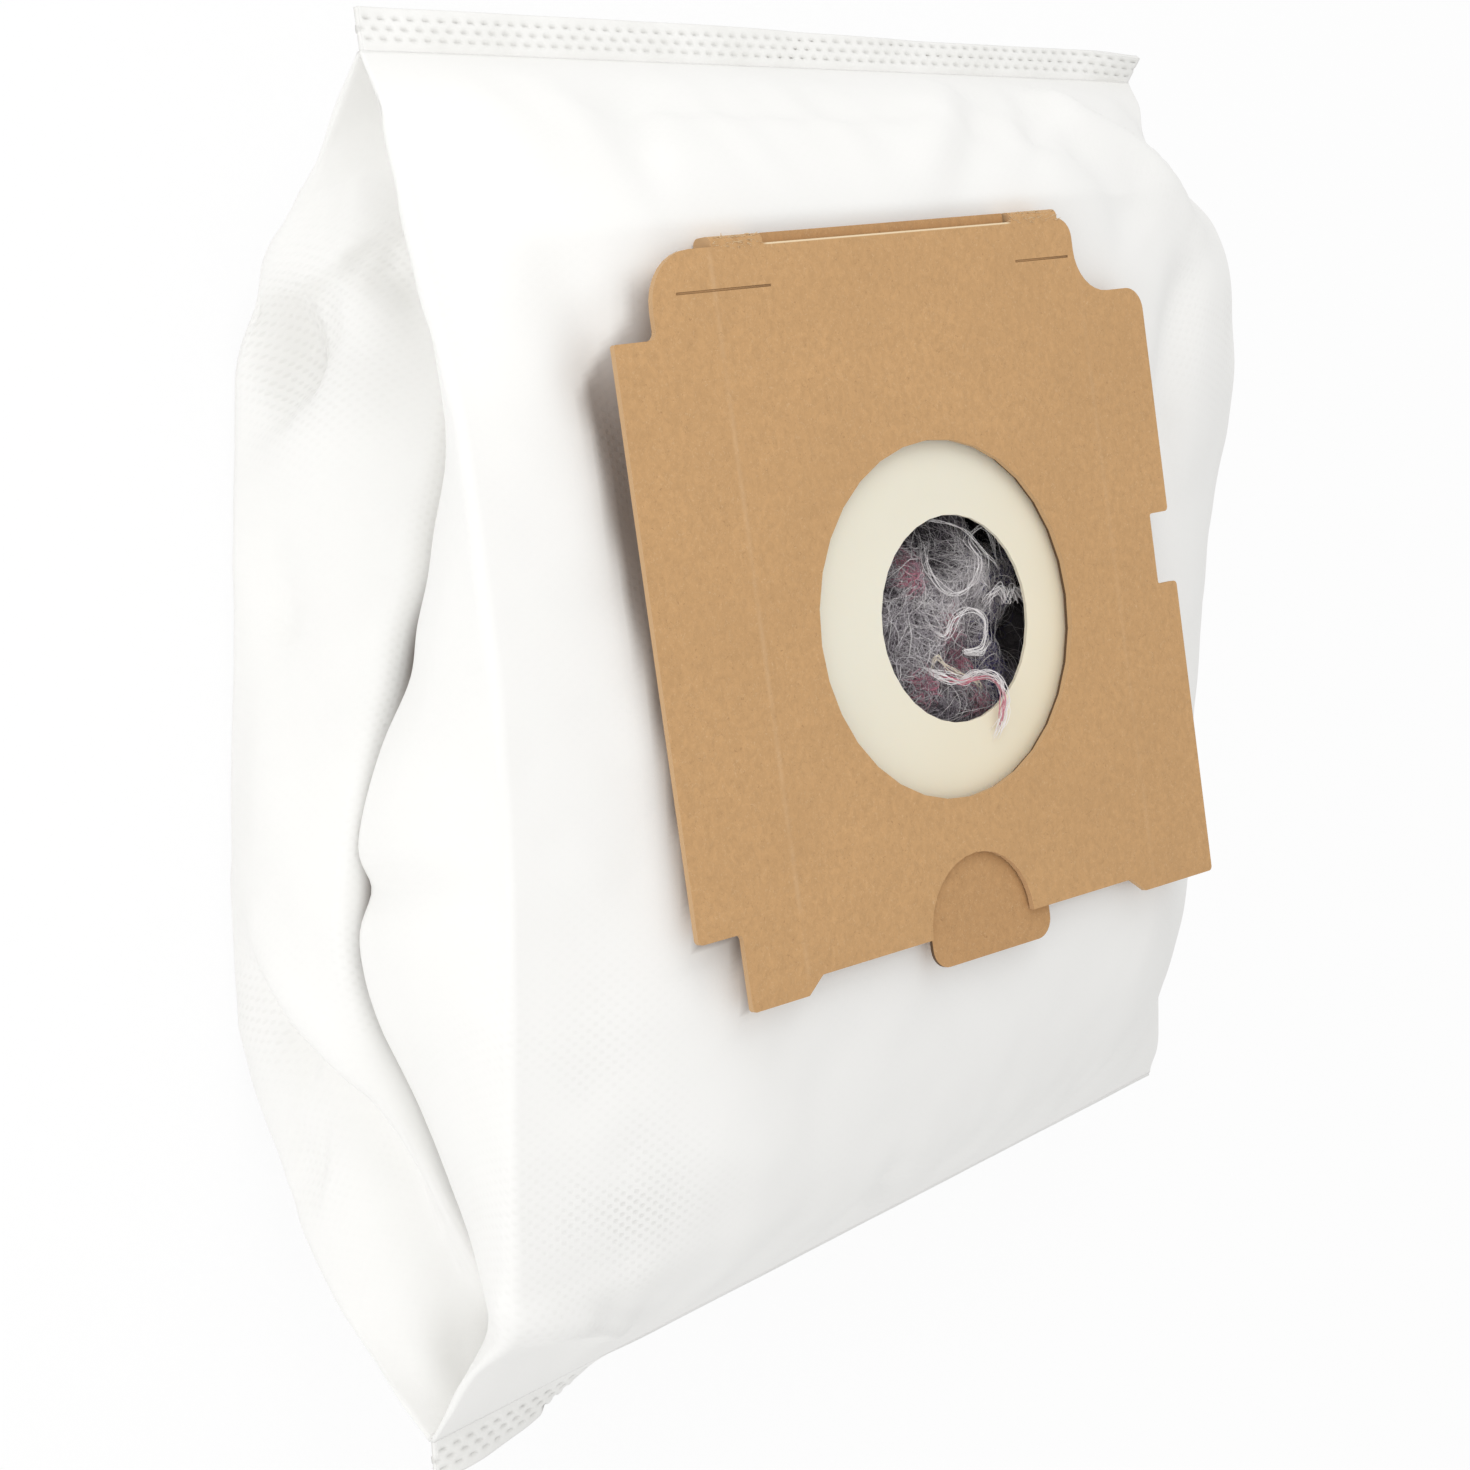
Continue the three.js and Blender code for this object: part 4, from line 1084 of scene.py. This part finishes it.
# name, paths, radius in mm, first tone and second tone
fluff = [
    ("fluff_grey", curls(rng, scattered(2200), 1.0, 10, 0.3, 1.6),
     0.035, (0.50, 0.46, 0.48), (0.22, 0.20, 0.22)),
    ("fluff_lilac", curls(rng, scattered(1700), 1.5, 9, 0.45, 2.8),
     0.033, (0.80, 0.76, 0.79), (0.42, 0.37, 0.42)),
    ("fluff_pale", curls(rng, [*scattered(300), *clusters(PALE_PLACES, 110)], 1.3, 11, 0.35, 2.8),
     0.04, (0.93, 0.90, 0.90), (0.74, 0.70, 0.71)),
    ("fluff_dark", curls(rng, [*scattered(150), *clusters(PAINTED_SHADE_PLACES, 120)], 2.0, 8, 0.4, 1.5),
     0.05, (0.03, 0.027, 0.035), (0.08, 0.07, 0.08)),
    ("fluff_pink", curls(rng, clusters(PINK_PLACES, 70), 0.7, 4.5, 0.6, 2.8),
     0.05, (0.66, 0.20, 0.28), (0.52, 0.30, 0.36)),
    ("fluff_blue", curls(rng, clusters(BLUE_PLACES, 90), 2.0, 6, 0.5, 2.2),
     0.045, (0.06, 0.05, 0.20), (0.16, 0.14, 0.32)),
    ("threads_white", curls(rng, scattered(75, (-6, -16), (26, 17)), 1.0, 15, 0.28, 3.4, 40),
     0.065, (0.95, 0.93, 0.91), (0.85, 0.81, 0.81)),
]
for name, paths, thickness, first, second in fluff:
    made = tubes(name, to_frame(paths), thickness * MM, fluff_material(name, first, second))
    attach(made, "bag")
print("fibres", sum(len(f[1]) for f in fluff))

# %% [markdown]
# A few threads are placed one by one: a white loop, a scribble at the right, a long arc and a long curl
# across the top, and a pink and white one that hangs out over the lower edge of the inlet. When the
# slide closes over that one, it presses it flat against the membrane; its two pieces get meshes of their own.
# These are what the eye finds first, so they aren't left to chance.

# %% Threads placed one by one
def thread_path(places, steps=60):
    """A smooth path through places, with even steps along it."""
    places = np.array(places, float)
    run = np.insert(np.cumsum(np.linalg.norm(np.diff(places, axis=0), axis=1)), 0, 0)
    return curve_through(run, places, np.linspace(0, run[-1], steps))


def ply(rng, path, count, spread):
    """Several strands that wander about one path, so that they read as one loose thread."""
    t = np.linspace(0, 1, len(path))[None, :, None]
    waves = sum(np.sin(2 * np.pi * k * t + rng.uniform(0, 6.3, (count, 1, 3))) / k for k in (1, 2, 3, 5))
    return path[None] + spread * waves


# name, places, count of strands, how far they wander, radius in mm and finish
THREADS = [
    ("thread_loop", [(2, -1, 77), (5, -3.5, 78.5), (7.5, -0.5, 79), (11, 0.4, 79.5), (14.3, -2, 79.2),
                     (13, -6.2, 78.8), (9, -6.6, 78.6), (12, -7.4, 79), (16.5, -5.8, 78)],
     8, 0.32, 0.055, "white"),
    ("thread_scribble", [(16, 0, 77.5), (18, 2, 78.5), (19.5, 3, 79), (20.5, 0.8, 79), (22, 2.6, 79),
                         (23.5, 0.6, 78.6), (25, 2, 78), (27, -1, 77.5)],
     12, 0.6, 0.055, "white"),
    ("thread_arc", [(3, 17, 77), (8, 15.5, 78.5), (12.5, 13.5, 79), (17.5, 9, 79), (21, 6, 78)],
     4, 0.3, 0.05, "white"),
    ("thread_curl", [(4, 13, 77), (3, 9, 78.5), (5, 5.5, 79), (9, 3.8, 79), (13, 5, 79), (15, 8.5, 79),
                     (13.5, 12, 78.5), (16, 13.5, 79), (19.5, 11.5, 78.5), (20.5, 7, 78)],
     5, 0.5, 0.05, "white"),
    ("thread_cream", [(1, -9, 77.5), (2.5, -6.5, 78.5), (4, -8.5, 78.8), (7.5, -10.5, 79), (11, -12.5, 79),
                      (12, -14, 78)],
     7, 0.3, 0.055, "cream"),
    ("thread_hanging", [(-1, -7.5, 77), (2.5, -9.8, 78.8), (6, -11.3, 80), (9, -10.6, 82), (10.6, -12, 84.0),
                        (11.0, -15, 84.6), (10, -18.5, 84.2), (8.2, -21.5, 83.6)],
     18, 0.5, 0.06, "white"),
    ("thread_pink", [(2, -9.8, 78.6), (6, -11.5, 80.2), (9.4, -11.2, 82.6), (10.6, -14, 84.5),
                     (9.9, -18, 84.6), (9.6, -20.3, 83.8)],
     6, 0.3, 0.08, "pink"),
]
PRESSED_BY_SLIDE = ("thread_hanging", "thread_pink")
thread_finish = {
    "white": fluff_material("white thread", (0.95, 0.93, 0.92), (0.90, 0.86, 0.86)),
    "cream": fluff_material("cream thread", (0.92, 0.84, 0.70), (0.80, 0.72, 0.60)),
    "pink": fluff_material("pink thread", (0.72, 0.20, 0.27), (0.62, 0.32, 0.36)),
}
for name, places, strands, spread, thickness, finish in THREADS:
    paths = ply(rng, thread_path(places), strands, spread)
    made = tubes(name, to_frame(paths), thickness * MM, thread_finish[finish], 5)
    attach(made, "bag")
    if name in PRESSED_BY_SLIDE:
        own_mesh(made)
print("threads", len(THREADS))

# %% [markdown]
# Plain light and a pale floor. The world is an even white sky, three wide soft lamps give the folds
# their shape, and the floor shows near white to the camera but keeps the bag's shadow. Small lamps
# would throw hard shadows.

# %% Floor and light
floor_material, floor_shader = new_material("floor", 0.9, Base_Color=(0.93, 0.93, 0.93, 1))
rays = node(floor_material, "LightPath")
not_lit = maths("MAXIMUM", rays.outputs["Is Glossy Ray"], rays.outputs["Is Transmission Ray"])
seen = maths("MAXIMUM", rays.outputs["Is Camera Ray"], not_lit)
plain_white = node(floor_material, "Emission", None, Color=(1, 1, 1, 1), Strength=1.0)
mixed = node(floor_material, "MixShader", None, in0=maths("MULTIPLY", seen, 0.9))
link(floor_shader.outputs[0], mixed.inputs[1])
link(plain_white.outputs[0], mixed.inputs[2])
link(mixed.outputs[0], floor_material.node_tree.nodes["Material Output"].inputs["Surface"])

FLOOR_HALF = 4.0
corners = np.array([[(-FLOOR_HALF, -FLOOR_HALF, 0), (FLOOR_HALF, -FLOOR_HALF, 0)],
                    [(-FLOOR_HALF, FLOOR_HALF, 0), (FLOOR_HALF, FLOOR_HALF, 0)]])
floor = grid_object("floor", corners, floor_material)

world = bpy.data.worlds.new("sky")
world.use_nodes = True
bpy.context.scene.world = world
sky = world.node_tree.nodes["Background"]
sky.inputs["Color"].default_value = (1.0, 1.0, 1.0, 1)
sky.inputs["Strength"].default_value = 0.80


def soft_lamp(name, place, aim, size, watts):
    """A square area lamp at place, in metres, turned to aim."""
    data = bpy.data.lights.new(name, "AREA")
    data.size = size
    data.energy = watts
    lamp = bpy.data.objects.new(name, data)
    bpy.context.scene.collection.objects.link(lamp)
    lamp.location = place
    lamp.rotation_euler = (Vector(aim) - Vector(place)).to_track_quat("-Z", "Y").to_euler()
    return lamp


soft_lamp("key", (-0.08, 0.36, 0.38), (0, 0, 0.06), 0.3, 0.50)
soft_lamp("side", (-0.42, 0.03, 0.22), (-0.05, 0, 0.05), 0.3, 0.33)
soft_lamp("low", (-0.30, -0.40, 0.20), (-0.05, -0.05, 0.05), 0.3, 0.15)
print("world strength", sky.inputs["Strength"].default_value)
